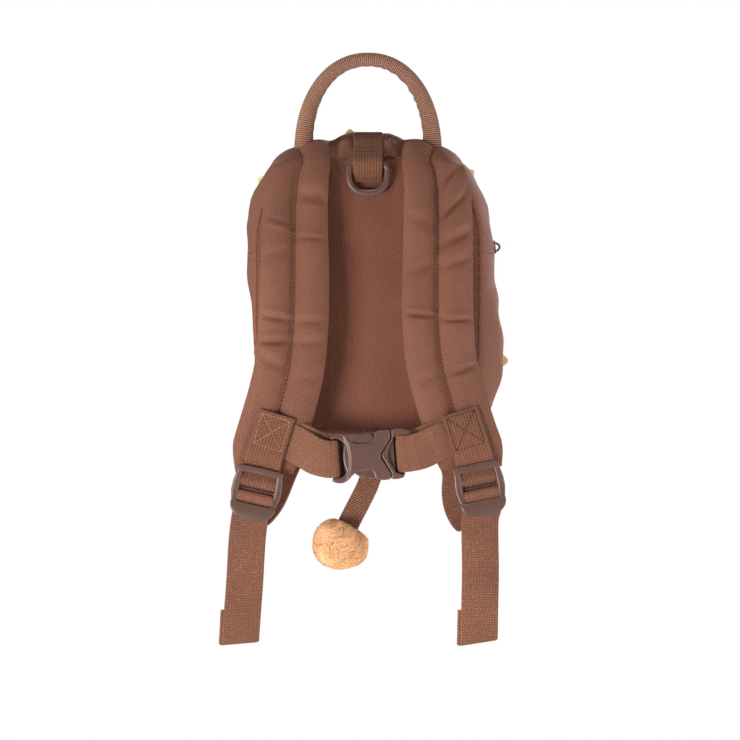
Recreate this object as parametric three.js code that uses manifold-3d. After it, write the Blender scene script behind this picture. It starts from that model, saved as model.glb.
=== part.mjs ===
// Toddler backpack, seen from its harness side and hung by the grab handle.
// Millimetres, +Z up, +X to the right, the harness towards -Y. The origin is the underside of the handle's top.
import * as THREE from "three";
import { mergeVertices } from "three/addons/utils/BufferGeometryUtils.js";
import Module from "manifold-3d";

const wasm = await Module();
wasm.setup();

// Driving sizes
const GAP = 0.4;
const CLEAR = 0.55;
const WEB = { thick: 1.3, wide: 25.3, loopWide: 20.4, tailWide: 15.2, tabWide: 25.8 };
const BAG = {
  top: -43,
  widest: -132,
  bottom: -265,
  halfWidth: 88.5,
  upperPower: 2.5,
  lowerPower: 5,
  back: -10,
  depth: 84,
  fullest: 0.55,
  backInset: 9,
  topInset: 11,
  frontInset: 5,
  wall: 1.6,
};
const SWAY = { shift: 9, height: -205, spread: 55 };
const PANEL = { thick: 3, crown: 3.5 };
const FRONT = { thick: 1.6, dome: 11 };
const ZIP = { half: 0.058, end: -131, slider: -124.5, ridge: 1.2, thick: 1.2 };
const HANDLE = { halfSpan: 44.6, foot: -58.5, root: 16, across: 5.2, deep: 4.5, power: 2.15, lean: 9 };
const RING = { half: 13.4, drop: 19.4, wire: 2.3, y: -18.2, z: -70.4, power: 2.7, corner: 4 };
const LOCK = { wide: 33, rail: 2.9, tall: 36, rim: 4.5, bar: 1.2, lip: 8.5 };
const BUCKLE = { x: 0, y: -44, z: -270.1, tilt: -3.5, thick: 9, half: 17, waist: 9.4 };
const POMPOM = { x: -19.2, y: 5, z: -333.3, rx: 20, ry: 18, rz: 17.4, locks: 34, depth: 0.16 };
const TRIM = { wide: 7, out: 6.2, thick: 1.4, v: 0.965 };

// Soft dents of the gusset: place round the outline from the bottom centre, place through the depth, depth and spreads
const DENTS = [
  { u: 0.262, v: 0.3, deep: 2.2, spanU: 0.012, spanV: 0.3 },
  { u: 0.225, v: 0.65, deep: 1.8, spanU: 0.015, spanV: 0.3 },
  { u: 0.318, v: 0.75, deep: 1.6, spanU: 0.016, spanV: 0.25 },
  { u: 0.695, v: 0.4, deep: 2.2, spanU: 0.014, spanV: 0.35 },
  { u: 0.765, v: 0.6, deep: 1.8, spanU: 0.014, spanV: 0.3 },
  { u: 0.06, v: 0.5, deep: 1.8, spanU: 0.02, spanV: 0.35 },
  { u: 0.94, v: 0.6, deep: 1.6, spanU: 0.02, spanV: 0.3 },
];

// Shoulder straps: middle of each section, its tilt and roll, half width and padding; drape 1 lies on the bag at v
const STRAPS = {
  left: [
    { x: -47.5, y: 3, z: -54, tilt: 22, roll: 0, half: 24, thick: 3.8, drape: 1, v: 0.155 },
    { x: -48, y: -6, z: -59, tilt: 22, roll: 0, half: 23.8, thick: 5, drape: 1, v: 0.05 },
    { x: -48.2, y: -16, z: -66, tilt: 22, roll: -14, half: 23.6, thick: 6, drape: 0.85, v: -0.05 },
    { x: -48.6, y: -21.8, z: -80, tilt: 20, roll: -16, half: 23.4, thick: 7, drape: 0.2, v: -0.1 },
    { x: -49.5, y: -26.5, z: -97, tilt: 13, roll: -10, half: 23, thick: 8.2, drape: 0, v: -0.1 },
    { x: -50, y: -31.5, z: -120, tilt: 5, roll: -4, half: 23, thick: 8.6, drape: 0, v: 0 },
    { x: -50, y: -35.5, z: -148, tilt: 0, roll: 0, half: 23.6, thick: 8.6, drape: 0, v: 0 },
    { x: -50.8, y: -38, z: -180, tilt: 1, roll: 0, half: 24, thick: 8.6, drape: 0, v: 0 },
    { x: -53, y: -37.5, z: -207, tilt: 6, roll: 0, half: 24, thick: 8.2, drape: 0, v: 0 },
    { x: -58, y: -35.8, z: -230, tilt: 14, roll: 0, half: 24, thick: 6.6, drape: 0, v: 0 },
    { x: -64.5, y: -34.2, z: -252, tilt: 18, roll: 0, half: 24, thick: 5.2, drape: 0, v: 0 },
    { x: -70, y: -32.8, z: -269, tilt: 17, roll: 0, half: 23.6, thick: 4.9, drape: 0, v: 0 },
    { x: -72.6, y: -32, z: -277, tilt: 16, roll: 0, half: 22.4, thick: 4.6, drape: 0, v: 0 },
  ],
  right: [
    { x: 46, y: 3, z: -54, tilt: -20, roll: 0, half: 24.2, thick: 3.8, drape: 1, v: 0.155 },
    { x: 46.5, y: -6, z: -59, tilt: -20, roll: 0, half: 24, thick: 5, drape: 1, v: 0.05 },
    { x: 46.8, y: -16, z: -66, tilt: -20, roll: 14, half: 24, thick: 6, drape: 0.85, v: -0.05 },
    { x: 47.2, y: -21.8, z: -79, tilt: -18, roll: 16, half: 24, thick: 7, drape: 0.2, v: -0.1 },
    { x: 47.7, y: -26.5, z: -96, tilt: -12, roll: 10, half: 24, thick: 8.2, drape: 0, v: -0.1 },
    { x: 48, y: -31.5, z: -119, tilt: -5, roll: 4, half: 24, thick: 8.6, drape: 0, v: 0 },
    { x: 47.6, y: -35.5, z: -152, tilt: 0, roll: 0, half: 24.2, thick: 8.6, drape: 0, v: 0 },
    { x: 47.8, y: -38, z: -181, tilt: 0, roll: 0, half: 24.4, thick: 8.6, drape: 0, v: 0 },
    { x: 50.3, y: -37.5, z: -207, tilt: -8, roll: 0, half: 24.2, thick: 8.2, drape: 0, v: 0 },
    { x: 56, y: -35.8, z: -230, tilt: -15, roll: 0, half: 24.2, thick: 6.6, drape: 0, v: 0 },
    { x: 63, y: -34.2, z: -252, tilt: -17, roll: 0, half: 24, thick: 5.2, drape: 0, v: 0 },
    { x: 69.2, y: -32.8, z: -268, tilt: -15, roll: 0, half: 23.6, thick: 4.9, drape: 0, v: 0 },
    { x: 71.8, y: -32, z: -276, tilt: -13, roll: 0, half: 22.4, thick: 4.6, drape: 0, v: 0 },
  ],
};

// Ladder locks, and the tabs that hang them: top of the tab, its middle, and where it dips under the lock's rim
const LOCKS = {
  left: { x: -72.5, y: -37.2, z: -279.2, tilt: 13 },
  right: { x: 74, y: -37.2, z: -278.6, tilt: -10 },
};
const TABS = {
  left: [
    { x: -61.6, y: -41.2, z: -242, tilt: 17 },
    { x: -67, y: -40.8, z: -260, tilt: 17 },
    { x: -70.6, y: -40.4, z: -271.5, tilt: 15 },
  ],
  right: [
    { x: 62, y: -41.4, z: -240, tilt: -17 },
    { x: 68.2, y: -41.05, z: -259, tilt: -16 },
    { x: 71.8, y: -40.65, z: -271, tilt: -13 },
  ],
};

// Webbing from the bag's lower corner down to its slack loop, and the free tail below the lock
const SLACK = {
  left: [
    { x: -47, y: 0, z: -246, tilt: 30 },
    { x: -51, y: -9.5, z: -263, tilt: 30 },
    { x: -59.5, y: -15, z: -282, tilt: 28 },
    { x: -69, y: -20, z: -300, tilt: 25 },
    { x: -76.5, y: -24.5, z: -310, tilt: 18 },
    { x: -80, y: -28.6, z: -312.4, tilt: 14 },
  ],
  right: [
    { x: 45, y: 0, z: -246, tilt: -24 },
    { x: 50.5, y: -9.5, z: -263, tilt: -20 },
    { x: 58.5, y: -15, z: -283, tilt: -12 },
    { x: 64.5, y: -20, z: -303, tilt: -10 },
    { x: 72, y: -24.5, z: -319, tilt: -12 },
    { x: 78.5, y: -28.8, z: -322.6, tilt: -11 },
    { x: 79.4, y: -31.4, z: -314, tilt: -10 },
  ],
};
const TAILS = {
  left: [
    { x: -83, y: -37.6, z: -328, tilt: 8 },
    { x: -85.3, y: -37.4, z: -362, tilt: 4.5 },
    { x: -88.2, y: -37.2, z: -400, tilt: 4.5 },
  ],
  right: [
    { x: 78.2, y: -37.6, z: -328, tilt: -1 },
    { x: 76.2, y: -37.4, z: -362, tilt: 1 },
    { x: 75.2, y: -37.2, z: -399.5, tilt: 1 },
  ],
};
const HEM = { long: 19, lift: 1.2, shift: 0.4 };

// Chest webbing from under each tab to the buckle
const CHEST = {
  left: [
    { x: -64, y: -38.8, z: -257.2, tilt: 90 },
    { x: -53, y: -38.9, z: -261, tilt: 90 },
    { x: -37, y: -43, z: -267.6, tilt: 90 },
  ],
  right: [
    { x: 63, y: -38.9, z: -254.8, tilt: 90 },
    { x: 54, y: -39.05, z: -258, tilt: 90 },
    { x: 39, y: -43, z: -264.4, tilt: 90 },
  ],
};
const RING_LOOP = [
  { x: 0, y: 4, z: -50.4, tilt: 0 },
  { x: 0, y: -4.4, z: -56, tilt: 0 },
  { x: 0, y: -14.4, z: -62.6, tilt: 0 },
  { x: 0, y: -20.2, z: -66.6, tilt: 0 },
  { x: 0, y: -21.8, z: -70.4, tilt: 0 },
  { x: 0, y: -20.2, z: -74.2, tilt: 0 },
  { x: 0, y: -16.7, z: -77.4, tilt: 0 },
  { x: 0, y: -16.1, z: -82.2, tilt: 0 },
];
const TAIL = [
  { x: 9, y: 12, z: -250, tilt: 10 },
  { x: 6, y: 12, z: -272, tilt: 16 },
  { x: 0.7, y: 11, z: -290.5, tilt: 25 },
  { x: -6, y: 9, z: -305, tilt: 27 },
  { x: -12.6, y: 7, z: -318, tilt: 27 },
  { x: -18, y: 5.5, z: -330, tilt: 27 },
];
const TRIM_POINTS = [
  { name: "trim_point_top", x: -14, z: -43 },
  { name: "trim_point_left", x: -74, z: -76 },
  { name: "trim_point_right", x: 72, z: -71 },
  { name: "trim_point_low", x: 88, z: -206 },
];

// Solids from points and faces
function solidOf(geometry) {
  const bare = new THREE.BufferGeometry();
  bare.setAttribute("position", geometry.getAttribute("position"));
  bare.setIndex(geometry.index);
  const merged = mergeVertices(bare, 1e-4);
  return new wasm.Manifold(
    new wasm.Mesh({
      numProp: 3,
      vertProperties: merged.attributes.position.array,
      triVerts: new Uint32Array(merged.index.array),
    }),
  );
}

function geometryOf(solid) {
  const mesh = solid.getMesh();
  const geometry = new THREE.BufferGeometry();
  geometry.setAttribute("position", new THREE.BufferAttribute(mesh.vertProperties, 3));
  geometry.setIndex(new THREE.BufferAttribute(mesh.triVerts, 1));
  return geometry;
}

function block(x0, x1, y0, y1, z0, z1) {
  const g = new THREE.BoxGeometry(x1 - x0, y1 - y0, z1 - z0);
  return solidOf(g.translate((x0 + x1) / 2, (y0 + y1) / 2, (z0 + z1) / 2));
}

// A closed surface, turned so that its faces point outwards
function closed(points, faces) {
  let volume = 0;
  for (const [a, b, c] of faces) {
    volume += points[a].dot(new THREE.Vector3().crossVectors(points[b], points[c]));
  }
  const turned = volume < 0 ? faces.map(([a, b, c]) => [a, c, b]) : faces;
  const geometry = new THREE.BufferGeometry();
  geometry.setAttribute(
    "position",
    new THREE.Float32BufferAttribute(points.flatMap((p) => [p.x, p.y, p.z]), 3),
  );
  geometry.setIndex(turned.flat());
  return geometry;
}

// Rings of equal count joined one to the next; the ends close to a point, or the last ring meets the first
function loft(rings, round = false) {
  const count = rings[0].length;
  const points = rings.flat();
  const faces = [];
  const spans = round ? rings.length : rings.length - 1;
  for (let i = 0; i < spans; i++) {
    const here = i * count;
    const next = ((i + 1) % rings.length) * count;
    for (let j = 0; j < count; j++) {
      const k = (j + 1) % count;
      faces.push([here + j, next + j, next + k]);
      faces.push([here + j, next + k, here + k]);
    }
  }
  if (!round) {
    const last = (rings.length - 1) * count;
    for (const [start, flip] of [[0, false], [last, true]]) {
      const middle = new THREE.Vector3();
      for (let j = 0; j < count; j++) {
        middle.addScaledVector(points[start + j], 1 / count);
      }
      points.push(middle);
      for (let j = 0; j < count; j++) {
        const k = (j + 1) % count;
        const a = start + (flip ? k : j);
        const b = start + (flip ? j : k);
        faces.push([points.length - 1, a, b]);
      }
    }
  }
  return closed(points, faces);
}

// A thick sheet over part of a surface of two parameters, cloth thickness measured inwards
function sheet(surface, from, to, steps, thick) {
  const outer = [];
  const inner = [];
  const rows = steps.v + 1;
  for (let i = 0; i <= steps.u; i++) {
    for (let j = 0; j <= steps.v; j++) {
      const u = from.u + ((to.u - from.u) * i) / steps.u;
      const v = from.v + ((to.v - from.v) * j) / steps.v;
      const at = surface(u, v);
      const alongU = surface(u + 1e-3, v).sub(surface(u - 1e-3, v));
      const alongV = surface(u, v + 1e-3).sub(surface(u, v - 1e-3));
      const normal = alongV.cross(alongU).normalize();
      outer.push(at);
      inner.push(at.clone().addScaledVector(normal, -thick));
    }
  }
  const base = outer.length;
  const faces = [];
  const quad = (a, b, c, d) => faces.push([a, b, c], [a, c, d]);
  for (let i = 0; i < steps.u; i++) {
    for (let j = 0; j < steps.v; j++) {
      const a = i * rows + j;
      quad(a, a + 1, a + rows + 1, a + rows);
      quad(base + a, base + a + rows, base + a + rows + 1, base + a + 1);
    }
  }
  for (let i = 0; i < steps.u; i++) {
    const a = i * rows;
    const b = a + steps.v;
    quad(a, a + rows, base + a + rows, base + a);
    quad(b, base + b, base + b + rows, b + rows);
  }
  for (let j = 0; j < steps.v; j++) {
    const a = j;
    const b = steps.u * rows + j;
    quad(a, base + a, base + a + 1, a + 1);
    quad(b, b + 1, base + b + 1, base + b);
  }
  return closed(outer.concat(inner), faces);
}

// Columns of a table blended smoothly from row to row
function between(rows, t) {
  const i = Math.min(Math.floor(t), rows.length - 2);
  const f = t - i;
  const pick = (k) => rows[Math.max(0, Math.min(rows.length - 1, k))];
  const out = {};
  for (const key of Object.keys(rows[0])) {
    const [a, b, c, d] = [pick(i - 1)[key], pick(i)[key], pick(i + 1)[key], pick(i + 2)[key]];
    const bend = 2 * a - 5 * b + 4 * c - d;
    const twist = 3 * b - a - 3 * c + d;
    out[key] = 0.5 * (2 * b + f * (c - a) + f * f * bend + f * f * f * twist);
  }
  return out;
}

const turn = (tilt) => THREE.MathUtils.degToRad(tilt);
const across = (tilt) => new THREE.Vector3(Math.cos(turn(tilt)), 0, -Math.sin(turn(tilt)));
const upward = (tilt) => new THREE.Vector3(Math.sin(turn(tilt)), 0, Math.cos(turn(tilt)));

// Sections along a table: the middle, the direction across the band and the direction out of its face
function stations(rows, steps, square = true) {
  const out = [];
  for (let i = 0; i <= steps; i++) {
    const t = ((rows.length - 1) * i) / steps;
    const row = between(rows, t);
    const ahead = between(rows, Math.min(rows.length - 1, t + 0.02));
    const behind = between(rows, Math.max(0, t - 0.02));
    const along = new THREE.Vector3(ahead.x - behind.x, ahead.y - behind.y, ahead.z - behind.z).normalize();
    const side = across(row.tilt);
    if (row.roll) {
      side.y = Math.sin(turn(row.roll));
      side.normalize();
    }
    if (square) {
      side.addScaledVector(along, -side.dot(along)).normalize();
    }
    const face = new THREE.Vector3().crossVectors(along, side).normalize();
    out.push({ row, at: new THREE.Vector3(row.x, row.y, row.z), side, face });
  }
  return out;
}

// Flat webbing along a table
function webbing(rows, steps, wide, thick = WEB.thick) {
  const corners = [[-1, -1], [1, -1], [1, 1], [-1, 1]];
  const rings = stations(rows, steps).map(({ at, side, face }) =>
    corners.map(([w, h]) =>
      at.clone().addScaledVector(side, (w * wide) / 2).addScaledVector(face, (h * thick) / 2),
    ),
  );
  return loft(rings);
}

// A place in a tilted frame, as a row of a webbing table
function placed(frame, lx, ly, lz) {
  const p = new THREE.Vector3(frame.x, frame.y + ly, frame.z);
  p.addScaledVector(across(frame.tilt), lx).addScaledVector(upward(frame.tilt), lz);
  return { x: p.x, y: p.y, z: p.z, tilt: frame.tilt };
}

// Bag outline: two half superellipses, walked at an even pace from the bottom centre towards +X
function evenOutline(count) {
  const dense = [];
  for (let i = 0; i <= 6000; i++) {
    const angle = (2 * Math.PI * i) / 6000;
    const c = Math.sin(angle);
    const s = -Math.cos(angle);
    const power = 2 / (s >= 0 ? BAG.upperPower : BAG.lowerPower);
    const rise = s >= 0 ? BAG.top - BAG.widest : BAG.widest - BAG.bottom;
    const x = BAG.halfWidth * Math.sign(c) * Math.abs(c) ** power;
    dense.push(new THREE.Vector2(x, BAG.widest + rise * Math.sign(s) * Math.abs(s) ** power));
  }
  const walked = [0];
  for (let i = 1; i < dense.length; i++) {
    walked.push(walked[i - 1] + dense[i].distanceTo(dense[i - 1]));
  }
  const length = walked[walked.length - 1];
  const even = [];
  let k = 0;
  for (let i = 0; i < count; i++) {
    const want = (length * i) / count;
    while (walked[k + 1] < want) {
      k++;
    }
    const f = (want - walked[k]) / (walked[k + 1] - walked[k]);
    even.push(dense[k].clone().lerp(dense[k + 1], f));
  }
  return { points: even, length };
}

const OUTLINE = evenOutline(480);

function outlinePoint(u) {
  const { points } = OUTLINE;
  const n = points.length;
  const t = (((u % 1) + 1) % 1) * n;
  const i = Math.floor(t) % n;
  const at = points[i].clone().lerp(points[(i + 1) % n], t - Math.floor(t));
  const ahead = points[(i + 4) % n];
  const behind = points[(i + n - 3) % n];
  const along = ahead.clone().sub(behind).normalize();
  return { x: at.x, z: at.y, nx: along.y, nz: -along.x };
}

function outlineNear(x, z) {
  let best = 0;
  let least = Infinity;
  OUTLINE.points.forEach((p, i) => {
    const far = Math.hypot(p.x - x, p.y - z);
    if (far < least) {
      least = far;
      best = i / OUTLINE.points.length;
    }
  });
  return best;
}

// Outer face of the gusset: u round the outline, v from the back seam to the front seam
function bagPoint(u, v, grow = 0) {
  const edge = outlinePoint(u);
  const turned = ((u % 1) + 1) % 1;
  const backInset = BAG.backInset + BAG.topInset * Math.max(0, edge.nz) ** 2;
  const near = v < BAG.fullest;
  const inset = near
    ? backInset * (1 - v / BAG.fullest) ** 2
    : BAG.frontInset * ((v - BAG.fullest) / (1 - BAG.fullest)) ** 2;
  let dent = 0;
  for (const d of DENTS) {
    dent += d.deep * Math.exp(-(((turned - d.u) / d.spanU) ** 2) - ((v - d.v) / d.spanV) ** 2);
  }
  const fade = Math.sin(Math.PI * Math.min(1, Math.max(0, v)));
  const out = grow - inset - dent * fade;
  const x = edge.x + edge.nx * out;
  const z = edge.z + edge.nz * out;
  const pulled = Math.sin((Math.PI / 2) * Math.min(1, Math.max(0, v / BAG.fullest)));
  const sway = SWAY.shift * pulled * Math.exp(-(((edge.z - SWAY.height) / SWAY.spread) ** 2));
  return new THREE.Vector3(x + sway, BAG.back + v * BAG.depth, z);
}

// Rings of a panel that caps the gusset, from its rim inwards, crowned away from the bag
function panelRings(v, level, crown, shares, steps, grow) {
  const centre = new THREE.Vector3();
  const rim = [];
  for (let i = 0; i < steps; i++) {
    const p = bagPoint(i / steps, v, grow);
    rim.push(p);
    centre.addScaledVector(p, 1 / steps);
  }
  return shares.map((r) =>
    rim.map((p) => {
      const q = centre.clone().lerp(p, r);
      q.y = level + crown * (1 - r * r);
      return q;
    }),
  );
}

function panel(v, sign, thick, crown, shares, steps) {
  const level = BAG.back + v * BAG.depth + sign * GAP;
  const inside = panelRings(v, level, sign * crown, shares, steps, 0);
  const outside = panelRings(v, level + sign * thick, sign * crown, shares, steps, 0);
  return loft([...inside.reverse(), ...outside]);
}

// The whole bag as one solid, grown by the gap: what touches the bag is cut back with it
function bagEnvelope() {
  const steps = 72;
  const shares = [1, 0.85, 0.65, 0.4, 0.12];
  const backLevel = BAG.back - GAP - PANEL.thick - CLEAR;
  const frontLevel = BAG.back + BAG.depth + GAP + FRONT.thick + CLEAR;
  const rings = [...panelRings(0, backLevel, -PANEL.crown, shares, steps, CLEAR)].reverse();
  for (const v of [0, 0.08, 0.18, 0.3, 0.42, 0.55, 0.7, 0.85, 1]) {
    rings.push(Array.from({ length: steps }, (_, i) => bagPoint(i / steps, v, CLEAR)));
  }
  rings.push(...panelRings(1, frontLevel, FRONT.dome, shares, steps, CLEAR));
  return solidOf(loft(rings));
}

const ENVELOPE = bagEnvelope();
const cutToBag = (geometry) => geometryOf(solidOf(geometry).subtract(ENVELOPE));

// Bag pieces
const zipEnd = outlineNear(BAG.halfWidth, ZIP.end);
const gapU = GAP / OUTLINE.length;
const gapV = GAP / BAG.depth;
const zipFrom = BAG.fullest - ZIP.half;
const zipTo = BAG.fullest + ZIP.half;

function gussetLower() {
  return sheet(bagPoint, { u: -zipEnd, v: 0 }, { u: zipEnd, v: 1 }, { u: 32, v: 6 }, BAG.wall);
}

function gussetStrip(v0, v1, steps) {
  const from = { u: zipEnd + gapU, v: v0 };
  const to = { u: 1 - zipEnd - gapU, v: v1 };
  return sheet(bagPoint, from, to, { u: 28, v: steps }, BAG.wall);
}

function zipTape() {
  const ridge = (v) => Math.max(0, 1 - Math.abs(v - BAG.fullest) / (0.5 * ZIP.half));
  const surface = (u, v) => bagPoint(u, v, -0.3 + ZIP.ridge * ridge(v));
  const from = { u: zipEnd + gapU, v: zipFrom + gapV / 2 };
  const to = { u: 1 - zipEnd - gapU, v: zipTo - gapV / 2 };
  return sheet(surface, from, to, { u: 28, v: 4 }, ZIP.thick);
}

// Slider with the loop that carries its pull, standing on the closed zip
function zipSlider() {
  const body = new THREE.Shape();
  body.moveTo(-3.4, -4.6);
  body.lineTo(3.4, -4.6);
  body.lineTo(4.2, 2.4);
  body.quadraticCurveTo(4, 4.8, 1.6, 4.8);
  body.lineTo(-1.6, 4.8);
  body.quadraticCurveTo(-4, 4.8, -4.2, 2.4);
  body.closePath();
  const plate = new THREE.ExtrudeGeometry(body, { depth: 2.2, bevelEnabled: false, curveSegments: 4 });
  const rings = [];
  for (let i = 0; i <= 8; i++) {
    const angle = (Math.PI * i) / 8;
    const middle = new THREE.Vector3(0, 3.4 * Math.cos(angle), 1.2 + 4.6 * Math.sin(angle));
    const out = new THREE.Vector3(0, Math.cos(angle), Math.sin(angle));
    rings.push(
      Array.from({ length: 6 }, (_, j) => {
        const a = (2 * Math.PI * j) / 6;
        const p = middle.clone().addScaledVector(out, 0.8 * Math.cos(a));
        p.x += 1.3 * Math.sin(a);
        return p;
      }),
    );
  }
  const made = geometryOf(solidOf(plate).add(solidOf(loft(rings))));
  const u = outlineNear(BAG.halfWidth, ZIP.slider);
  const at = bagPoint(u, BAG.fullest, 0.9 + GAP);
  const along = bagPoint(u + 0.004, BAG.fullest).sub(bagPoint(u - 0.004, BAG.fullest)).normalize();
  const depth = new THREE.Vector3(0, 1, 0);
  const out = new THREE.Vector3().crossVectors(depth, along).normalize();
  made.applyMatrix4(new THREE.Matrix4().makeBasis(depth, along, out).setPosition(at));
  return made;
}

function trimPoint({ x, z }) {
  const u = outlineNear(x, z);
  const half = TRIM.wide / OUTLINE.length;
  const flat = (du, grow) => bagPoint(u + du, TRIM.v, grow);
  const rims = [flat(-half, -2), flat(-half, 1.2), flat(0, TRIM.out), flat(half, 1.2), flat(half, -2)];
  const shift = new THREE.Vector3(0, TRIM.thick, 0);
  return cutToBag(loft([rims, rims.map((p) => p.clone().add(shift))]));
}

// Padded strap: two lobes either side of a sewn middle, draped over the bag's top and free below
const OUTER_DROP = 0.32;
const LOBES = [-1, -0.92, -0.62, -0.26, -0.05, 0.05, 0.26, 0.62, 0.92, 1];
function lobe(w) {
  const edge = Math.sqrt(Math.max(0, 1 - Math.abs(w) ** 5));
  return 0.16 + 0.84 * edge * (1 - 0.5 * Math.exp(-((w / 0.13) ** 2)));
}

function shoulderStrap(rows) {
  const top = rows[0];
  const home = outlineNear(top.x * 1.02, -52);
  const rings = stations(rows, 24, false).map(({ row, at, side, face }) => {
    const flatness = THREE.MathUtils.clamp((row.thick - 4.6) / 3, 0, 1);
    const place = (w, h) => {
      const free = at.clone().addScaledVector(side, w * row.half).addScaledVector(face, h);
      if (row.drape < 0.001) {
        return free;
      }
      const u = home - (w * row.half) / OUTLINE.length;
      const outward = Math.sign(top.x) * w;
      const v = row.v > 0 ? row.v * (1 - OUTER_DROP * (1 + outward)) : row.v;
      const laid = bagPoint(u, v, GAP + 0.3 + row.thick / 2 + h);
      return free.lerp(laid, Math.min(1, row.drape));
    };
    const rise = (w) => (row.thick / 2) * THREE.MathUtils.lerp(0.6 + 0.4 * lobe(w), lobe(w), flatness);
    const outer = LOBES.map((w) => place(w, rise(w)));
    const inner = LOBES.map((w) => place(w, -rise(w))).reverse();
    return [...outer, ...inner];
  });
  return cutToBag(loft(rings));
}

// Tab: down over the strap end, under the rim, round the tab bar and back up behind
function strapTab(side) {
  const lock = LOCKS[side];
  const rows = [
    ...TABS[side],
    placed(lock, 0, -0.3, -1),
    placed(lock, 0, -0.8, -5.2),
    placed(lock, 0, -2.5, -10),
    placed(lock, 0, -1.9, -13),
    placed(lock, 0, 0.2, -14.2),
    placed(lock, 0, 2.2, -12.6),
    placed(lock, 0, 2.5, -9),
    placed(lock, 0, 2.2, -3),
    placed(lock, 0, 2.2, -1),
  ];
  return webbing(rows, 33, WEB.tabWide);
}

// Slack from the bag, up behind the lock, over the web bar, down behind the lip, then the hemmed tail
function adjusterWeb(side) {
  const lock = LOCKS[side];
  const rows = [
    ...SLACK[side],
    placed(lock, 0, 5.6, -27),
    placed(lock, 0, 3.2, -21.6),
    placed(lock, 0, 1.2, -18.9),
    placed(lock, 0, -1, -18.9),
    placed(lock, 0, -2.5, -21),
    placed(lock, 0, -2.1, -24.2),
    placed(lock, 0, -0.7, -28),
    placed(lock, 0, -0.5, -35.5),
    ...TAILS[side],
  ];
  const strip = solidOf(cutToBag(webbing(rows, 3 * (rows.length - 1), WEB.wide)));
  const [above, end] = rows.slice(-2);
  const down = new THREE.Vector3(end.x - above.x, end.y - above.y, end.z - above.z).normalize();
  const folded = (length) => ({
    x: end.x - down.x * length - HEM.shift,
    y: end.y - down.y * length + HEM.lift,
    z: end.z - down.z * length,
    tilt: end.tilt,
  });
  const fold = webbing([folded(HEM.long), folded(0)], 1, WEB.wide);
  return geometryOf(strip.add(solidOf(fold)));
}

// Moulded ladder lock in its own frame: side rails, rim over the tab, tab bar, web bar and thumb lip
function ladderLock(side) {
  const { wide, rail, tall, rim, bar, lip } = LOCK;
  const half = wide / 2;
  const railShape = new THREE.Shape();
  railShape.moveTo(-4.3, -0.6);
  railShape.quadraticCurveTo(-4.2, 0, -3.4, 0);
  railShape.lineTo(-0.6, -1);
  railShape.quadraticCurveTo(1.6, -6, 1.6, -11);
  railShape.lineTo(1.6, -22);
  railShape.quadraticCurveTo(1.2, -28, -2, -32);
  railShape.lineTo(-5, -32);
  railShape.quadraticCurveTo(-3.6, -24, -3, -18);
  railShape.quadraticCurveTo(-3, -6, -4.3, -0.6);
  const railAt = (x) => {
    const g = new THREE.ExtrudeGeometry(railShape, { depth: rail, bevelEnabled: false, curveSegments: 5 });
    // Profile drawn as depth by height, pushed along the width
    const turned = new THREE.Matrix4().makeBasis(
      new THREE.Vector3(0, 1, 0),
      new THREE.Vector3(0, 0, 1),
      new THREE.Vector3(1, 0, 0),
    );
    return solidOf(g.applyMatrix4(turned).translate(x, 0, 0));
  };
  const lipShape = new THREE.Shape();
  lipShape.moveTo(-half, -tall + lip);
  lipShape.lineTo(half, -tall + lip);
  lipShape.lineTo(half, -tall + 5);
  lipShape.quadraticCurveTo(half - 2, -tall, half - 9, -tall);
  lipShape.lineTo(-half + 9, -tall);
  lipShape.quadraticCurveTo(-half + 2, -tall, -half, -tall + 5);
  const lipPlate = new THREE.ExtrudeGeometry(lipShape, {
    depth: 1.8,
    bevelEnabled: true,
    bevelThickness: 0.4,
    bevelSize: 0.4,
    bevelOffset: -0.4,
    bevelSegments: 1,
    curveSegments: 6,
  });
  lipPlate.applyMatrix4(
    new THREE.Matrix4().makeBasis(
      new THREE.Vector3(1, 0, 0),
      new THREE.Vector3(0, 0, 1),
      new THREE.Vector3(0, -1, 0),
    ),
  );
  const made = railAt(-half)
    .add(railAt(half - rail))
    .add(block(-half + 0.5, half - 0.5, -4.2, -1.9, -rim, -0.2))
    .add(block(-half + 0.5, half - 0.5, -bar, bar, -12.4, -9.8))
    .add(block(-half + 0.5, half - 0.5, -bar, bar, -23, -20.4))
    .add(solidOf(lipPlate.translate(0, -2.4, 0)));
  const lock = LOCKS[side];
  const geometry = geometryOf(made);
  geometry.rotateY(turn(lock.tilt));
  return geometry.translate(lock.x, lock.y, lock.z);
}

// Chest webbing: from under the tab to the buckle's bar, round it and a little way back
function chestWeb(side) {
  const s = side === "left" ? -1 : 1;
  const at = (lx, ly) => ({ ...placed(BUCKLE, s * lx, ly, 0), tilt: 90 + BUCKLE.tilt });
  const rows = [
    ...CHEST[side],
    at(30, -2.6),
    at(25, -2.4),
    at(21.2, -2.1),
    at(19.7, 0),
    at(21.2, 2.1),
    at(25, 2.4),
    at(31, 2.6),
    at(40, 3.2),
  ];
  return webbing(rows, 30, WEB.wide);
}

// Fastened side-release buckle, drawn from the front and pressed through its thickness
function pressed(shape, thick, y = 0) {
  const g = new THREE.ExtrudeGeometry(shape, {
    depth: thick - 1.6,
    bevelEnabled: true,
    bevelThickness: 0.8,
    bevelSize: 0.8,
    bevelOffset: -0.8,
    bevelSegments: 1,
    curveSegments: 4,
  });
  const stand = new THREE.Matrix4().makeBasis(
    new THREE.Vector3(1, 0, 0),
    new THREE.Vector3(0, 0, 1),
    new THREE.Vector3(0, -1, 0),
  );
  return solidOf(g.applyMatrix4(stand).translate(0, y + thick / 2 - 0.8, 0));
}

function toBuckle(solid) {
  const g = geometryOf(solid);
  g.rotateY(turn(BUCKLE.tilt));
  return g.translate(BUCKLE.x, BUCKLE.y, BUCKLE.z);
}

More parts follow.
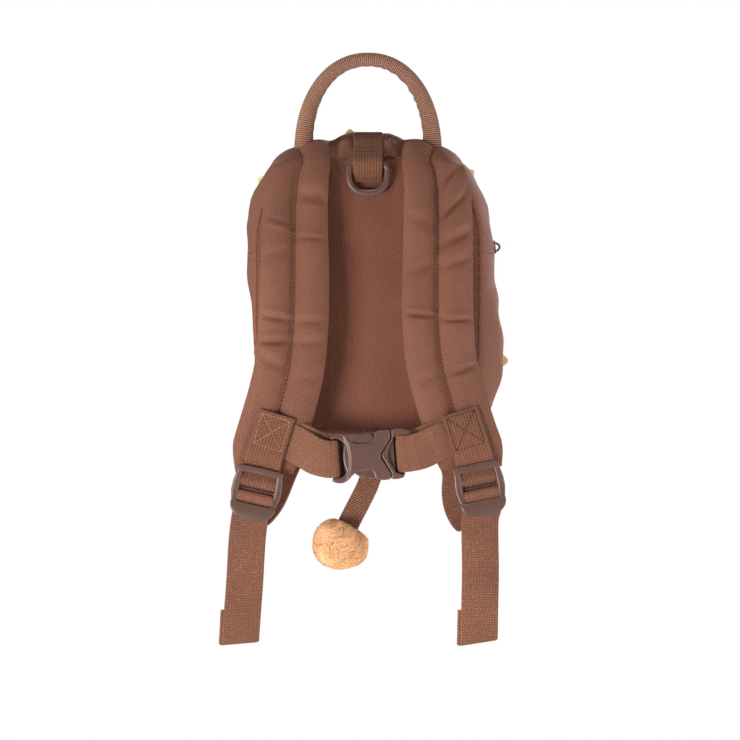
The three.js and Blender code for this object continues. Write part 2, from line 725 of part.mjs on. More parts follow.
function buckleSocket() {
  const { half, waist, thick } = BUCKLE;
  const shape = new THREE.Shape();
  shape.moveTo(15, half - 0.6);
  shape.quadraticCurveTo(10, half + 0.4, 6.4, half);
  shape.quadraticCurveTo(4.6, half - 4, 3.6, waist);
  shape.lineTo(-8.4, waist);
  shape.quadraticCurveTo(-12.4, waist + 1, -15, half - 1.2);
  shape.lineTo(-25, half - 0.4);
  shape.lineTo(-25, half - 3.2);
  shape.lineTo(-17.8, half - 3.4);
  shape.quadraticCurveTo(-15.2, 0, -17.8, -half + 3.4);
  shape.lineTo(-25, -half + 3.2);
  shape.lineTo(-25, -half + 0.4);
  shape.lineTo(-15, -half + 1.2);
  shape.quadraticCurveTo(-12.4, -waist - 1, -8.4, -waist);
  shape.lineTo(3.6, -waist);
  shape.quadraticCurveTo(4.6, -half + 4, 6.4, -half);
  shape.quadraticCurveTo(10, -half - 0.4, 15, -half + 0.6);
  shape.quadraticCurveTo(9.4, -8, 8.6, 0);
  shape.quadraticCurveTo(9.4, 8, 15, half - 0.6);
  return toBuckle(
    pressed(shape, thick)
      .subtract(block(-11, 20, -2.6, 2.6, -12.4, 12.4))
      .add(block(-24.4, -22, -1.2, 1.2, -half + 1.4, half - 1.4)),
  );
}

function bucklePlug() {
  const { half, thick } = BUCKLE;
  const shape = new THREE.Shape();
  shape.moveTo(16, half - 0.6);
  shape.quadraticCurveTo(10, 8, 9.2, 0);
  shape.quadraticCurveTo(10, -8, 16, -half + 0.6);
  shape.quadraticCurveTo(22, -half + 0.2, 28.5, -half + 0.8);
  shape.lineTo(28.5, -half + 3);
  shape.lineTo(18.6, -half + 3.6);
  shape.quadraticCurveTo(16.4, 0, 18.6, half - 3.6);
  shape.lineTo(28.5, half - 3);
  shape.lineTo(28.5, half - 0.8);
  shape.quadraticCurveTo(22, half - 0.2, 16, half - 0.6);
  let made = pressed(shape, thick - 0.6).add(block(22, 24.4, -1.2, 1.2, -half + 1.6, half - 1.6));
  for (const s of [-1, 1]) {
    const prong = new THREE.Shape();
    prong.moveTo(13, s * 11);
    prong.lineTo(13, s * 7.4);
    prong.lineTo(-7.6, s * 7);
    prong.quadraticCurveTo(-9, s * 8.4, -7.4, s * 11.6);
    prong.quadraticCurveTo(-4, s * 15.6, 1, s * 14.4);
    prong.quadraticCurveTo(2.8, s * 13.8, 3, s * 10.6);
    const arm = pressed(prong, 4.2);
    made = made.add(arm);
  }
  return toBuckle(made);
}

// Handle: webbing sewn round a cord, an arch whose feet stand on the bag
function grabHandle() {
  const rings = [];
  const arch = (angle) => {
    const c = Math.cos(angle);
    const s = Math.sin(angle);
    const x = HANDLE.halfSpan * Math.sign(c) * Math.abs(c) ** (2 / HANDLE.power);
    const rise = HANDLE.deep - HANDLE.foot;
    const up = Math.max(0, s) ** (2 / HANDLE.power);
    return new THREE.Vector3(x, HANDLE.lean * (1 - up), HANDLE.foot + rise * up);
  };
  const path = [new THREE.Vector3(HANDLE.halfSpan, HANDLE.lean, HANDLE.foot - HANDLE.root)];
  for (let i = 0; i <= 26; i++) {
    path.push(arch((Math.PI * i) / 26));
  }
  path.push(new THREE.Vector3(-HANDLE.halfSpan, HANDLE.lean, HANDLE.foot - HANDLE.root));
  path.forEach((at, i) => {
    const ahead = path[Math.min(path.length - 1, i + 1)];
    const behind = path[Math.max(0, i - 1)];
    const along = ahead.clone().sub(behind).normalize();
    const depth = new THREE.Vector3(0, 1, 0);
    const out = new THREE.Vector3().crossVectors(along, depth).normalize();
    rings.push(
      Array.from({ length: 8 }, (_, j) => {
        const a = (2 * Math.PI * (j + 0.5)) / 8;
        return at
          .clone()
          .addScaledVector(out, HANDLE.deep * Math.cos(a))
          .addScaledVector(depth, HANDLE.across * Math.sin(a));
      }),
    );
  });
  return cutToBag(loft(rings));
}

// D-ring: round wire along a straight bar with rounded corners and a bowed lower half
function dRing() {
  const path = [];
  const { half, drop, corner, power } = RING;
  for (let i = 0; i < 5; i++) {
    path.push(new THREE.Vector2(-half + corner + ((2 * (half - corner)) * i) / 5, 0));
  }
  const bend = (x, from) => {
    for (let i = 0; i <= 4; i++) {
      const a = from - ((Math.PI / 2) * i) / 4;
      path.push(new THREE.Vector2(x + corner * Math.cos(a), -corner + corner * Math.sin(a)));
    }
  };
  bend(half - corner, Math.PI / 2);
  for (let i = 1; i < 20; i++) {
    const a = (Math.PI * i) / 20;
    const x = Math.sign(Math.cos(a)) * half * Math.abs(Math.cos(a)) ** (2 / power);
    path.push(new THREE.Vector2(x, -corner - (drop - corner) * Math.sin(a) ** (2 / power)));
  }
  bend(-half + corner, Math.PI);
  const even = path.filter((p, i) => p.distanceTo(path[(i + 1) % path.length]) > 0.2);
  const rings = even.map((p, i) => {
    const ahead = even[(i + 1) % even.length];
    const behind = even[(i + even.length - 1) % even.length];
    const along = ahead.clone().sub(behind).normalize();
    return Array.from({ length: 7 }, (_, j) => {
      const a = (2 * Math.PI * (j + 0.5)) / 7;
      const out = RING.wire * Math.cos(a);
      return new THREE.Vector3(
        p.x + along.y * out,
        RING.y + RING.wire * Math.sin(a),
        RING.z + p.y - along.x * out,
      );
    });
  });
  return loft(rings, true);
}

// Plush ball: a head with short locks that stand out all round
function pompom(grow = 0) {
  const tips = Array.from({ length: POMPOM.locks }, (_, i) => {
    const z = 1 - (2 * i + 1) / POMPOM.locks;
    const a = 2.39996 * i;
    const r = Math.sqrt(1 - z * z);
    return new THREE.Vector3(r * Math.cos(a), r * Math.sin(a), z);
  });
  const ball = new THREE.IcosahedronGeometry(1, 4);
  const bare = new THREE.BufferGeometry();
  bare.setAttribute("position", ball.getAttribute("position"));
  const merged = mergeVertices(bare, 1e-4);
  const spots = merged.getAttribute("position");
  const p = new THREE.Vector3();
  for (let i = 0; i < spots.count; i++) {
    p.fromBufferAttribute(spots, i).normalize();
    const nearest = Math.max(...tips.map((t) => t.dot(p)));
    const lock = Math.exp(-((Math.acos(Math.min(1, nearest)) / 0.2) ** 2));
    const reach = 1 - POMPOM.depth + POMPOM.depth * lock;
    spots.setXYZ(
      i,
      POMPOM.x + p.x * (POMPOM.rx * reach + grow),
      POMPOM.y + p.y * (POMPOM.ry * reach + grow),
      POMPOM.z + p.z * (POMPOM.rz * reach + grow),
    );
  }
  return merged;
}

function tailWeb() {
  const strip = solidOf(cutToBag(webbing(TAIL, 20, WEB.tailWide)));
  return geometryOf(strip.subtract(solidOf(pompom(GAP))));
}

// Materials and the finished group
const colour = (hex, roughness) => new THREE.MeshStandardMaterial({ color: hex, roughness });
const CLOTH = colour(0x8a5a44, 0.9);
const WEBBING = colour(0x9a6247, 0.85);
const PLASTIC = colour(0x6f574e, 0.4);
const PLUSH = colour(0xe0ad70, 0.95);
const FELT = colour(0xd9b060, 0.95);
const ZIPPER = colour(0x6b4435, 0.7);

const bag = new THREE.Group();
bag.name = "toddler_backpack";
function piece(name, geometry, material) {
  const mesh = new THREE.Mesh(geometry, material);
  mesh.name = name;
  bag.add(mesh);
}

const PANEL_SHARES = [1, 0.82, 0.5, 0.12];
piece("back_panel", panel(0, -1, PANEL.thick, PANEL.crown, PANEL_SHARES, 38), CLOTH);
piece("front_panel", panel(1, 1, FRONT.thick, FRONT.dome, PANEL_SHARES, 38), CLOTH);
piece("gusset_lower", gussetLower(), CLOTH);
piece("gusset_back_strip", gussetStrip(0, zipFrom - gapV / 2, 3), CLOTH);
piece("gusset_front_strip", gussetStrip(zipTo + gapV / 2, 1, 3), CLOTH);
piece("zip_tape", zipTape(), ZIPPER);
piece("zip_slider", zipSlider(), PLASTIC);
for (const point of TRIM_POINTS) {
  piece(point.name, trimPoint(point), FELT);
}
for (const side of ["left", "right"]) {
  piece("shoulder_strap_" + side, shoulderStrap(STRAPS[side]), CLOTH);
  piece("strap_tab_" + side, strapTab(side), WEBBING);
  piece("ladder_lock_" + side, ladderLock(side), PLASTIC);
  piece("adjuster_web_" + side, adjusterWeb(side), WEBBING);
  piece("chest_web_" + side, chestWeb(side), WEBBING);
}
piece("buckle_socket", buckleSocket(), PLASTIC);
piece("buckle_plug", bucklePlug(), PLASTIC);
piece("grab_handle", grabHandle(), WEBBING);
piece("ring_loop", cutToBag(webbing(RING_LOOP, 28, WEB.loopWide)), WEBBING);
piece("d_ring", dRing(), PLASTIC);
piece("tail_web", tailWeb(), WEBBING);
piece("tail_pompom", pompom(), PLUSH);

export default bag;
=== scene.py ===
"""Looks of a toddler backpack, seen from its harness side and hung by its grab handle.

Lengths are millimetres until a mesh is made; the frame is +Z up, +X right, harness towards -Y.
"""

import math

import bpy
import numpy as np
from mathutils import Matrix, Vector


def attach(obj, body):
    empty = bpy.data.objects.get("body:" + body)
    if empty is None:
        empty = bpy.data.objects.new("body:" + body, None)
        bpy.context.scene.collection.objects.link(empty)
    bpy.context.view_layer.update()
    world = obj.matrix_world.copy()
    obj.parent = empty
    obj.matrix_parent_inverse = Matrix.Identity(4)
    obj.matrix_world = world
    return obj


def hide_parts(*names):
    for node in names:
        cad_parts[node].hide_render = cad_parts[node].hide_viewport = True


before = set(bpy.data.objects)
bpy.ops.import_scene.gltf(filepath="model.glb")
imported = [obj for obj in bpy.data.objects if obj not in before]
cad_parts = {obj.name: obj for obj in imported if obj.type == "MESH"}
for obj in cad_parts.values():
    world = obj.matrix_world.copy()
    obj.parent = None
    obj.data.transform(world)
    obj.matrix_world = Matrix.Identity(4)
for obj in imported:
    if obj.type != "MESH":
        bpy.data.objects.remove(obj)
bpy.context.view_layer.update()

MM = 0.001
BODY = "pack"
RING_BODY = "ring"
SEED = 11
DEEP = np.array([0.0, 1.0, 0.0])
OUTLINE_STEPS = 480

# Sizes of the pieces
GAP = 0.4
WEB = {
    "thick": 1.3, "wide": 25.3, "loop": 20.4, "tail": 15.2, "tab": 25.8, "selvedge": 18,
    "wander": 0.12, "wander_long": 9, "ripple": 0.24,
}
BAG = {
    "top": -43, "widest": -132, "bottom": -265, "half": 88.5, "upper_power": 2.5, "lower_power": 5,
    "back": -10, "depth": 84, "fullest": 0.55, "wall": 1.6,
    "back_inset": 9, "top_inset": 11, "front_inset": 5, "seam_inset": -0.2,
}
SWAY = {"shift": 9, "height": -205, "spread": 55}
PANELS = {
    "back": {"v": 0, "sign": -1, "thick": 3, "crown": 3.5, "edge": 0.8, "dip": 3.4, "seam": 2.6},
    "front": {"v": 1, "sign": 1, "thick": 1.6, "crown": 11, "edge": 0.9, "dip": 0, "seam": 1.9},
}
ZIP = {
    "half": 0.058, "end": -131, "end_gap": 0.06, "tape_sunk": 1.3, "pitch": 1.25, "slant": 0.16,
    "bead": (5.2, 1.15, 1.5), "slider": -124.5,
}
SLIDER = {
    "thick": 2.2, "bevel": 0.5, "loop_foot": 1.2, "loop_high": 3.9, "loop_half": 3.0, "loop_wide": 1.3,
    "loop_thick": 0.8,
}
HANDLE = {
    "span": 45.2, "foot": -58.5, "root": 10, "across": 5.2, "deep": 4.5, "power": 2.15, "lean": 9,
    "swell": 1.9, "proud": 0.3, "rib": 0.15, "rows": 760, "columns": 32,
}
HANDLE_SEAM = {
    "lump": 0.4, "least": 0.35, "at": 0.32, "span": 24, "long": 1.3, "uneven": 1.9, "slow": 7, "narrow": 6,
}
RING = {"half": 13.4, "drop": 19.4, "wire": 2.3, "y": -18.2, "z": -70.4, "power": 2.7, "corner": 4}
BUCKLE = {"x": 0, "y": -44, "z": -270.8, "tilt": -4.3, "thick": 9}
BUCKLE_FRONT = {
    "deep": 2.4, "over": 1.2, "crown": 0.6, "half": 17, "bay": 1.5, "bay_x": 12.2, "bay_bend": 0.014,
    "bay_step": 0.25,
}
SOCKET = {"bevel": 1.1, "hollow": (-11, 20, 12.4), "hollow_deep": (-2.6, 2.6, 0.2), "floor": (-24, -13)}
PLUG = {
    "thinner": 0.6, "bevel": 0.9, "prong_deep": (-3.0, 2.1, 0.8), "bridge": (2, 18, 15.6),
    "bridge_deep": (-1.4, 2.0, 0.3), "floor": (11.6, 24),
}
BAR = {"x": 23.2, "half": 14.6, "round": 1.2, "floor_half": 13.8, "floor_deep": (3.3, 4.3, 0.3)}
LOCK = {"wide": 33, "stout": 2.3, "inset": 0.8, "bow": 0.5}
LOCK_RIM = {"y": -3.1, "z": -2.5, "halves": (1.25, 2.2)}
LOCK_BARS = {"heights": (-10.2, -20.3), "halves": (1.2, 1.25), "power": 3.0}
LOCK_GRIP = {"y": 0.9, "z": -15.4, "halves": (0.7, 1.5), "power": 3.0}
LOCK_TEETH = {"count": 14, "inset": 4.2, "depths": (0.9, -1.2, -2.1), "halves": (0.5, 0.42, 0.25)}
LOCK_LIP = {
    "y": -3.2, "z": -25.2, "long": 11.3, "turn": 1.5, "inset": 0.9, "round": 2.7, "curl": 0.9,
    "curl_turn": 0.8, "thick": 1.35, "thinned": 0.45, "power": 6.0,
}
LOCK_RAIL_COLUMNS = ("z", "front", "behind", "flare")
LOCK_RAIL = [
    (-0.4, -4.2, -3.2, -1.3), (-1.5, -4.3, -1.6, -0.9), (-4, -4.2, -0.2, -0.5), (-8, -3.9, 1.0, 0.0),
    (-12, -3.5, 1.6, 0.4), (-18, -3.1, 1.6, 0.4), (-23, -3.3, 1.5, -0.3), (-28, -4.0, 0.2, -1.6),
    (-32, -4.6, -1.6, -4.2), (-34, -4.4, -2.6, -7.2),
]
POMPOM = {
    "at": (-19.2, 5, -333.3), "radii": (20.9, 19, 18.6), "pole": (0.523, 0.1, 0.85),
    "flat": 12.6, "keep": 0.25, "head": 0.92, "lump": 0.034, "strands": 5600, "locks": 500,
}
STRAND = {
    "long": 6.4, "vary": 1.4, "wide": 0.62, "flat": 0.55, "stray": 0.14, "draw": 0.45, "rows": 4, "sides": 3,
    "rise": 1.1, "crest": 1.6, "loose": 0.52, "bend": 2.2, "taper": 0.75, "taper_power": 1.6,
    "stout": (0.8, 1.2),
}
TRIM = {
    "wide": 7.4, "thick": 1.4, "v": 0.965, "root": -2.0, "tip": 1.2, "least": 0.02, "narrow": 0.6,
    "square": 0.5, "edge": 0.6,
}
HEM = {"long": 21, "lift": 1.9, "shift": 2.6, "slope": 0.165, "reach": 12, "front": -30, "clear": 2}
ADJUSTER = {"ribs": 14, "cord": 0.1}
RIB_PITCH = 1.45

# Softness of the cloth
PUCKER = {
    "turn": 1.5, "pitch": 8.5, "deep": 0.23, "fade": 7, "uneven": ((2.2, 41), (1.3, 97)),
    "soft": 0.5, "soft_waves": 23, "soft_slant": 5,
}
RIM = {
    "pitch": 9, "deep": 0.25, "fade": 7, "half": 75, "uneven": (2, 50), "dip_wide": 27, "dip_at": 0.97,
    "dip_span": 0.14, "square": 14, "round": 0.6, "clear": 0.3, "sewn": 0.972, "least": 0.02,
    "rows": (14, 46), "columns": 400,
}
SEAM_TURN = 1.4
ZIP_TURN = 0.5
GUSSET_GRIDS = {"low": (360, 40), "strip": (330, 24), "tape": (330, 12)}
FOLDS = {
    "wave": {"high": 1.5, "long": 3.4, "slant": 6, "start": 0.7, "fade": 11, "wide": 28},
    "pillow": {"high": 3.8, "aside": 16, "wide": 6, "deep": 9, "tall": 7},
    "pinch": {"high": 2.9, "fade": 16, "wide": 8},
    "tuck": {"share": 0.8, "aside": 27, "wide": 4, "deep": 6, "tall": 9},
}
PAD = {
    "step": 1.5, "columns": 37, "thin": 4.6, "full": 7.6, "swell": 2.0, "held_rows": 4,
    "channel": 0.05, "edge": 0.998, "sewn": (3, -18),
}
PAD_LOBES = {"edge": 3.6, "share": 1, "channel": 0.8, "wide": 0.11}
PAD_ENDS = {"edge": 9, "share": 0.9, "channel": 0.25, "wide": 0.08}
STRAP_TOP = {
    "passes": 10, "rows": 22, "home": {"left": -53, "right": 49}, "z": -52, "sewn": 1.9, "sewn_v": 0.4,
    "lift": 0.3,
}
STRAP_END = {
    "long": 16, "reach": {"left": 10, "right": 6.5}, "narrow": {"left": 0.3, "right": 0.18}, "taper": 13,
}

# Stitches: pitch, length and thickness of the thread
STITCH = {
    "seam": (3.0, 2.3, 0.45), "strap": (2.9, 2.1, 0.85), "tab": (2.3, 1.9, 0.7), "loop": (2.0, 1.5, 0.5),
    "chest": (1.7, 1.3, 0.42),
}
STITCH_INSET = 1.5
LOOP_ROWS = (-58.6, -61.4, -80.2)
CHEST_ROWS = (28.2, 30, 31.8, 44, 45.8)
TAB_BOX = {"inset": 3, "low": 2.5, "high": 7}

# Voxel size and smoothing passes of the fused mouldings
SKIN = {"lock": (0.34, 5), "buckle": (0.38, 4), "zip": (0.22, 2)}

DENT_COLUMNS = ("u", "v", "deep", "span_u", "span_v")
DENTS = [
    (0.262, 0.3, 2.2, 0.012, 0.3),
    (0.225, 0.65, 1.8, 0.015, 0.3),
    (0.318, 0.75, 1.6, 0.016, 0.25),
    (0.695, 0.4, 2.2, 0.014, 0.35),
    (0.765, 0.6, 1.8, 0.014, 0.3),
    (0.06, 0.5, 1.8, 0.02, 0.35),
    (0.94, 0.6, 1.6, 0.02, 0.3),
    (0.46, 0.5, 3.4, 0.014, 0.45),
    (0.541, 0.5, 3.4, 0.014, 0.45),
]

INNER_DROP = 0.06
STRAP_COLUMNS = ("x", "y", "z", "tilt", "roll", "half", "thick", "drape", "v")
STRAPS = {
    "left": [
        (-47.5, 3, -54, 22, 0, 24, 1.8, 1, 0.47),
        (-48, -6, -59, 22, 0, 23.8, 3.2, 1, 0.23),
        (-48.2, -16, -66, 22, -14, 23.6, 6, 0.85, -0.05),
        (-48.6, -21.8, -80, 20, -16, 23.4, 7, 0.2, -0.1),
        (-49.5, -26.5, -97, 13, -10, 23, 8.2, 0, -0.1),
        (-50, -31.5, -120, 5, -4, 23, 8.6, 0, 0),
        (-50, -35.5, -148, 0, 0, 23.6, 8.6, 0, 0),
        (-50.8, -38, -180, 1, 0, 24, 8.6, 0, 0),
        (-53, -37.5, -207, 6, 0, 24, 8.2, 0, 0),
        (-58, -35.8, -230, 14, 0, 24, 6.6, 0, 0),
        (-64.5, -34.2, -252, 18, 0, 24, 5.2, 0, 0),
        (-70, -32.8, -269, 17, 0, 23.6, 4.9, 0, 0),
        (-72.6, -32, -277, 16, 0, 22.4, 4.6, 0, 0),
    ],
    "right": [
        (46, 3, -54, -20, 0, 24.2, 1.8, 1, 0.47),
        (46.5, -6, -59, -20, 0, 24, 3.2, 1, 0.23),
        (46.8, -16, -66, -20, 14, 24, 6, 0.85, -0.05),
        (47.2, -21.8, -79, -18, 16, 24, 7, 0.2, -0.1),
        (47.7, -26.5, -96, -12, 10, 24, 8.2, 0, -0.1),
        (48, -31.5, -119, -5, 4, 24, 8.6, 0, 0),
        (47.6, -35.5, -152, 0, 0, 24.2, 8.6, 0, 0),
        (47.8, -38, -181, 0, 0, 24.4, 8.6, 0, 0),
        (50.3, -37.5, -207, -8, 0, 24.2, 8.2, 0, 0),
        (56, -35.8, -230, -15, 0, 24.2, 6.6, 0, 0),
        (63, -34.2, -252, -17, 0, 24, 5.2, 0, 0),
        (69.2, -32.8, -268, -15, 0, 23.6, 4.9, 0, 0),
        (71.8, -32, -276, -13, 0, 22.4, 4.6, 0, 0),
    ],
}
CREASE = {
    "scale": 2.1, "reach": 24, "narrow": 0.8, "fade": 0.7, "over": 1.02, "ridge": 0.45, "beside": 1.9,
    "ridge_wide": 1.1,
}
CREASE_COLUMNS = ("z", "side", "deep", "wide", "slant")
CREASES = {
    "left": [
        (-92, 1, 1.2, 5, 0.3),
        (-98, 1, -0.7, 4, 0.1),
        (-116, -1, -0.9, 2.2, -0.18),
        (-122, 1, 1.0, 1.8, 0.04),
        (-134, -1, 0.9, 3.6, 0.25),
        (-177, -1, 1.2, 2.6, -0.14),
        (-179, 1, 0.9, 3.0, 0.05),
        (-193, -1, 1.7, 2.6, 0.1),
        (-193, 1, 0.9, 3.6, 0.12),
        (-208, -1, 0.8, 4.5, -0.3),
        (-216, 1, 0.7, 5, 0.3),
    ],
    "right": [
        (-84, 1, 1.5, 4.4, 0.75),
        (-103, 1, 1.9, 4.2, 0.85),
        (-124, 1, 1.9, 4.4, 0.5),
        (-110, -1, 0.7, 5, -0.5),
        (-140, 1, 1.1, 4, 0.4),
        (-144, -1, 1.0, 4.5, 0.5),
        (-175, -1, 1.6, 1.8, -0.06),
        (-178, 1, 1.6, 1.8, 0.06),
        (-214, 1, 1.3, 2.4, 0.16),
        (-216, -1, 0.8, 3.5, 0.2),
    ],
}

ROUTE_COLUMNS = ("x", "y", "z", "tilt")
LOCKS = {
    "left": {"x": -72.5, "y": -37.2, "z": -279.2, "tilt": 13},
    "right": {"x": 73.2, "y": -37.2, "z": -276.4, "tilt": -11.8},
}
TABS = {
    "left": [(-61.6, -41.2, -242, 17), (-67, -40.8, -260, 17), (-70.6, -40.4, -271.5, 15)],
    "right": [(62, -41.4, -240, -17), (68.2, -41.05, -259, -16), (71.8, -40.65, -271, -13)],
}
TAB_IN_LOCK = [
    (-0.3, -1), (-0.8, -4.8), (-2.4, -9.4), (-1.8, -12.2), (0.2, -13.3),
    (2.2, -11.8), (2.5, -8.4), (2.2, -3), (2.2, -1),
]
SLACK = {
    "left": [
        (-48, 0, -246, 30), (-53, -9.5, -263, 30), (-61.5, -15, -282, 28),
        (-69, -20, -300, 25), (-76.5, -24.5, -310, 18), (-80, -28.6, -312.4, 14),
    ],
    "right": [
        (46, 0, -246, -24), (56, -9.5, -264, -19), (63.4, -14.5, -281, -8),
        (63.4, -17, -297, -7), (65, -18.5, -306, -12), (68.6, -20.4, -313, -15),
        (72.6, -24.6, -317, -15), (75.8, -29.4, -315.6, -13), (77.4, -31.8, -309, -12),
    ],
}
WEB_IN_LOCK = [
    (5.6, -27.4), (3.2, -20.6), (1.2, -17.6), (-1, -17.6), (-2.4, -19.6),
    (-2.2, -22.6), (-0.7, -28),
]
TAILS = {
    "left": [
        (-80.7, -37.6, -314, 10), (-82.4, -37.6, -330, 6),
        (-84.4, -37.4, -360, 4.5), (-86.8, -37.2, -397.6, 4.5),
    ],
    "right": [
        (76.8, -37.6, -313, -2), (76.4, -37.6, -328, 0),
        (76.6, -37.4, -360, 0.5), (75.8, -37.2, -397.2, 0.5),
    ],
}
CHEST = {
    "left": [
        (-64, -38.8, -256.8, 90), (-53, -39, -261, 90), (-43.5, -41.6, -266, 90), (-36, -44.4, -270.4, 90),
    ],
    "right": [
        (63, -38.9, -255.4, 90), (54, -39.05, -259, 90), (45, -41.4, -262.8, 90), (36.5, -44.4, -266.8, 90),
    ],
}
CHEST_AT_BAR = [(27, -2.6), (21.2, -2.1), (19.7, 0), (21.2, 2.1), (25, 2.4)]
CHEST_BEHIND = {
    "left": [
        (-33, -41.1, -267.6, 90), (-41, -40.2, -263.4, 90), (-50, -37.9, -259.2, 90), (-58, -37.3, -256, 90),
    ],
    "right": [
        (33, -41.1, -265.4, 90), (41, -40.2, -261.4, 90), (50, -38.1, -258, 90), (57, -37.5, -255.4, 90),
    ],
}
RING_LOOP = [
    (0, 14, -45.2, 0), (0, 4, -50.4, 0), (0, -4.4, -56, 0), (0, -14.4, -62.6, 0), (0, -20.2, -66.6, 0),
    (0, -21.8, -70.4, 0), (0, -20.2, -74.2, 0), (0, -16.7, -77.4, 0), (0, -16.1, -82.2, 0),
]
TAIL = [
    (9, 12, -250, 10), (6, 12, -272, 16), (0.7, 11, -290.5, 25),
    (-6, 9, -305, 27), (-12.6, 7, -318, 27), (-18, 5.5, -330, 27),
]
TRIM_POINTS = {
    "trim_point_top": (-13, -43, 10.9), "trim_point_left": (-74, -76, 9.4),
    "trim_point_right": (72, -71, 10), "trim_point_low": (88, -206, 9.8),
}


# Arrays and frames
def columns(names, rows):
    """A table as one array for each named column."""
    return dict(zip(names, np.array(rows, float).T))


def unit(a):
    """Vectors divided by their length."""
    return a / np.maximum(np.linalg.norm(a, axis=-1, keepdims=True), 1e-12)


def powered(c, power):
    """The sign of c times |c| to a power, as in a superellipse."""
    return np.sign(c) * np.abs(c) ** power


def bell(x):
    """A bell curve, exp(-x squared)."""
    return np.exp(-np.square(x))


def across(tilt):
    """Direction across a band that is tilted in the picture plane."""
    a = np.radians(tilt)
    return np.stack([np.cos(a), 0 * a, -np.sin(a)], -1)


def upward(tilt):
    """Direction up a band that is tilted in the picture plane."""
    a = np.radians(tilt)
    return np.stack([np.sin(a), 0 * a, np.cos(a)], -1)


def between(table, t):
    """Each column at places t by a uniform Catmull-Rom curve through the rows."""
    n = len(next(iter(table.values())))
    i = np.clip(np.floor(t).astype(int), 0, n - 2)
    f = t - i
    rows = [np.clip(i + k, 0, n - 1) for k in (-1, 0, 1, 2)]
    out = {}
    for name, column in table.items():
        a, b, c, d = (column[r] for r in rows)
        bend = 2 * a - 5 * b + 4 * c - d
        twist = 3 * b - a - 3 * c + d
        out[name] = 0.5 * (2 * b + f * (c - a) + f * f * bend + f * f * f * twist)
    return out


def walked(points):
    """Distance walked along rows of points, from 0."""
    step = np.linalg.norm(np.diff(points, axis=0), axis=-1)
    return np.concatenate([[0.0], np.cumsum(step)])


def sampled(places, far, rows):
    """Rows of points at places along the distance walked, each straight between its neighbours."""
    return np.stack([np.interp(places, far, column) for column in rows.T], -1)


def less_along(a, b):
    """Vectors a without their share along unit vectors b."""
    return a - b * np.sum(a * b, -1, keepdims=True)


def to_harness(out):
    """Ways out turned over where they point away from the harness side."""
    return out * np.where(out[..., 1:2] > 0, -1, 1)


def middles(row):
    """The x, y and z columns of a table as points."""
    return np.stack([row[k] for k in "xyz"], -1)


def stations(table, step, square=True):
    """Even steps along a table's curve: its columns there, the middle, the ways across, out and along."""
    last = len(table["x"]) - 1
    fine = np.linspace(0, last, 60 * last + 1)
    far = walked(middles(between(table, fine)))
    count = max(6, int(round(far[-1] / step)))
    row = between(table, np.interp(np.linspace(0, far[-1], count + 1), far, fine))
    at = middles(row)
    along = unit(np.gradient(at, axis=0))
    side = across(row["tilt"])
    if "roll" in row:
        side[:, 1] = np.sin(np.radians(row["roll"]))
        side = unit(side)
    if square:
        side = unit(less_along(side, along))
    return row, at, side, unit(np.cross(along, side)), along


# Meshes
def object_of(name, mesh):
    """A new object at the origin that carries the mesh."""
    obj = bpy.data.objects.new(name, mesh)
    bpy.context.scene.collection.objects.link(obj)
    return obj


def mesh_of(name, points, faces, corner_uv=None, scale=MM):
    """A smooth mesh from points and faces, with one texture place for each corner of each face."""
    mesh = bpy.data.meshes.new(name)
    mesh.from_pydata((points * scale).tolist(), [], faces)
    if corner_uv is not None:
        layer = mesh.uv_layers.new(name="cloth")
        layer.data.foreach_set("uv", np.ascontiguousarray(corner_uv, np.float32).ravel())
    mesh.shade_smooth()
    return mesh


def signed_volume(points, quads):
    """Six times the volume that quads enclose, negative where they face inwards."""
    a, b, c, d = (points[quads[:, k]] for k in range(4))
    return np.sum(a * np.cross(b, c)) + np.sum(a * np.cross(c, d))


def cloth_uv(rings, centre, comes_round, far):
    """Places on the cloth in millimetres: round each row from its centre column, and along the piece."""
    closed = np.concatenate([rings, rings[:, :1]], 1)
    step = np.linalg.norm(np.diff(closed, axis=1), axis=-1)
    around = np.concatenate([np.zeros((len(rings), 1)), np.cumsum(step, 1)], 1)
    around = around - around[:, centre : centre + 1]
    along = walked(rings[:, centre]) if far is None else far
    if comes_round:
        around = np.concatenate([around, around[:1]])
        lap = np.linalg.norm(rings[0, centre] - rings[-1, centre])
        along = np.concatenate([along, along[-1:] + lap])
    return np.stack([around, np.broadcast_to(along[:, None], around.shape)], -1)


def ring_quads(rows, cols, comes_round=False):
    """Corners of the quads between neighbouring rings of points, where each ring closes on itself."""
    i = np.arange(rows if comes_round else rows - 1)[:, None]
    j = np.arange(cols)[None, :]
    n, k = (i + 1) % rows, (j + 1) % cols
    corners = np.broadcast_arrays(i * cols + j, n * cols + j, n * cols + k, i * cols + k)
    return np.stack(corners, -1).reshape(-1, 4)


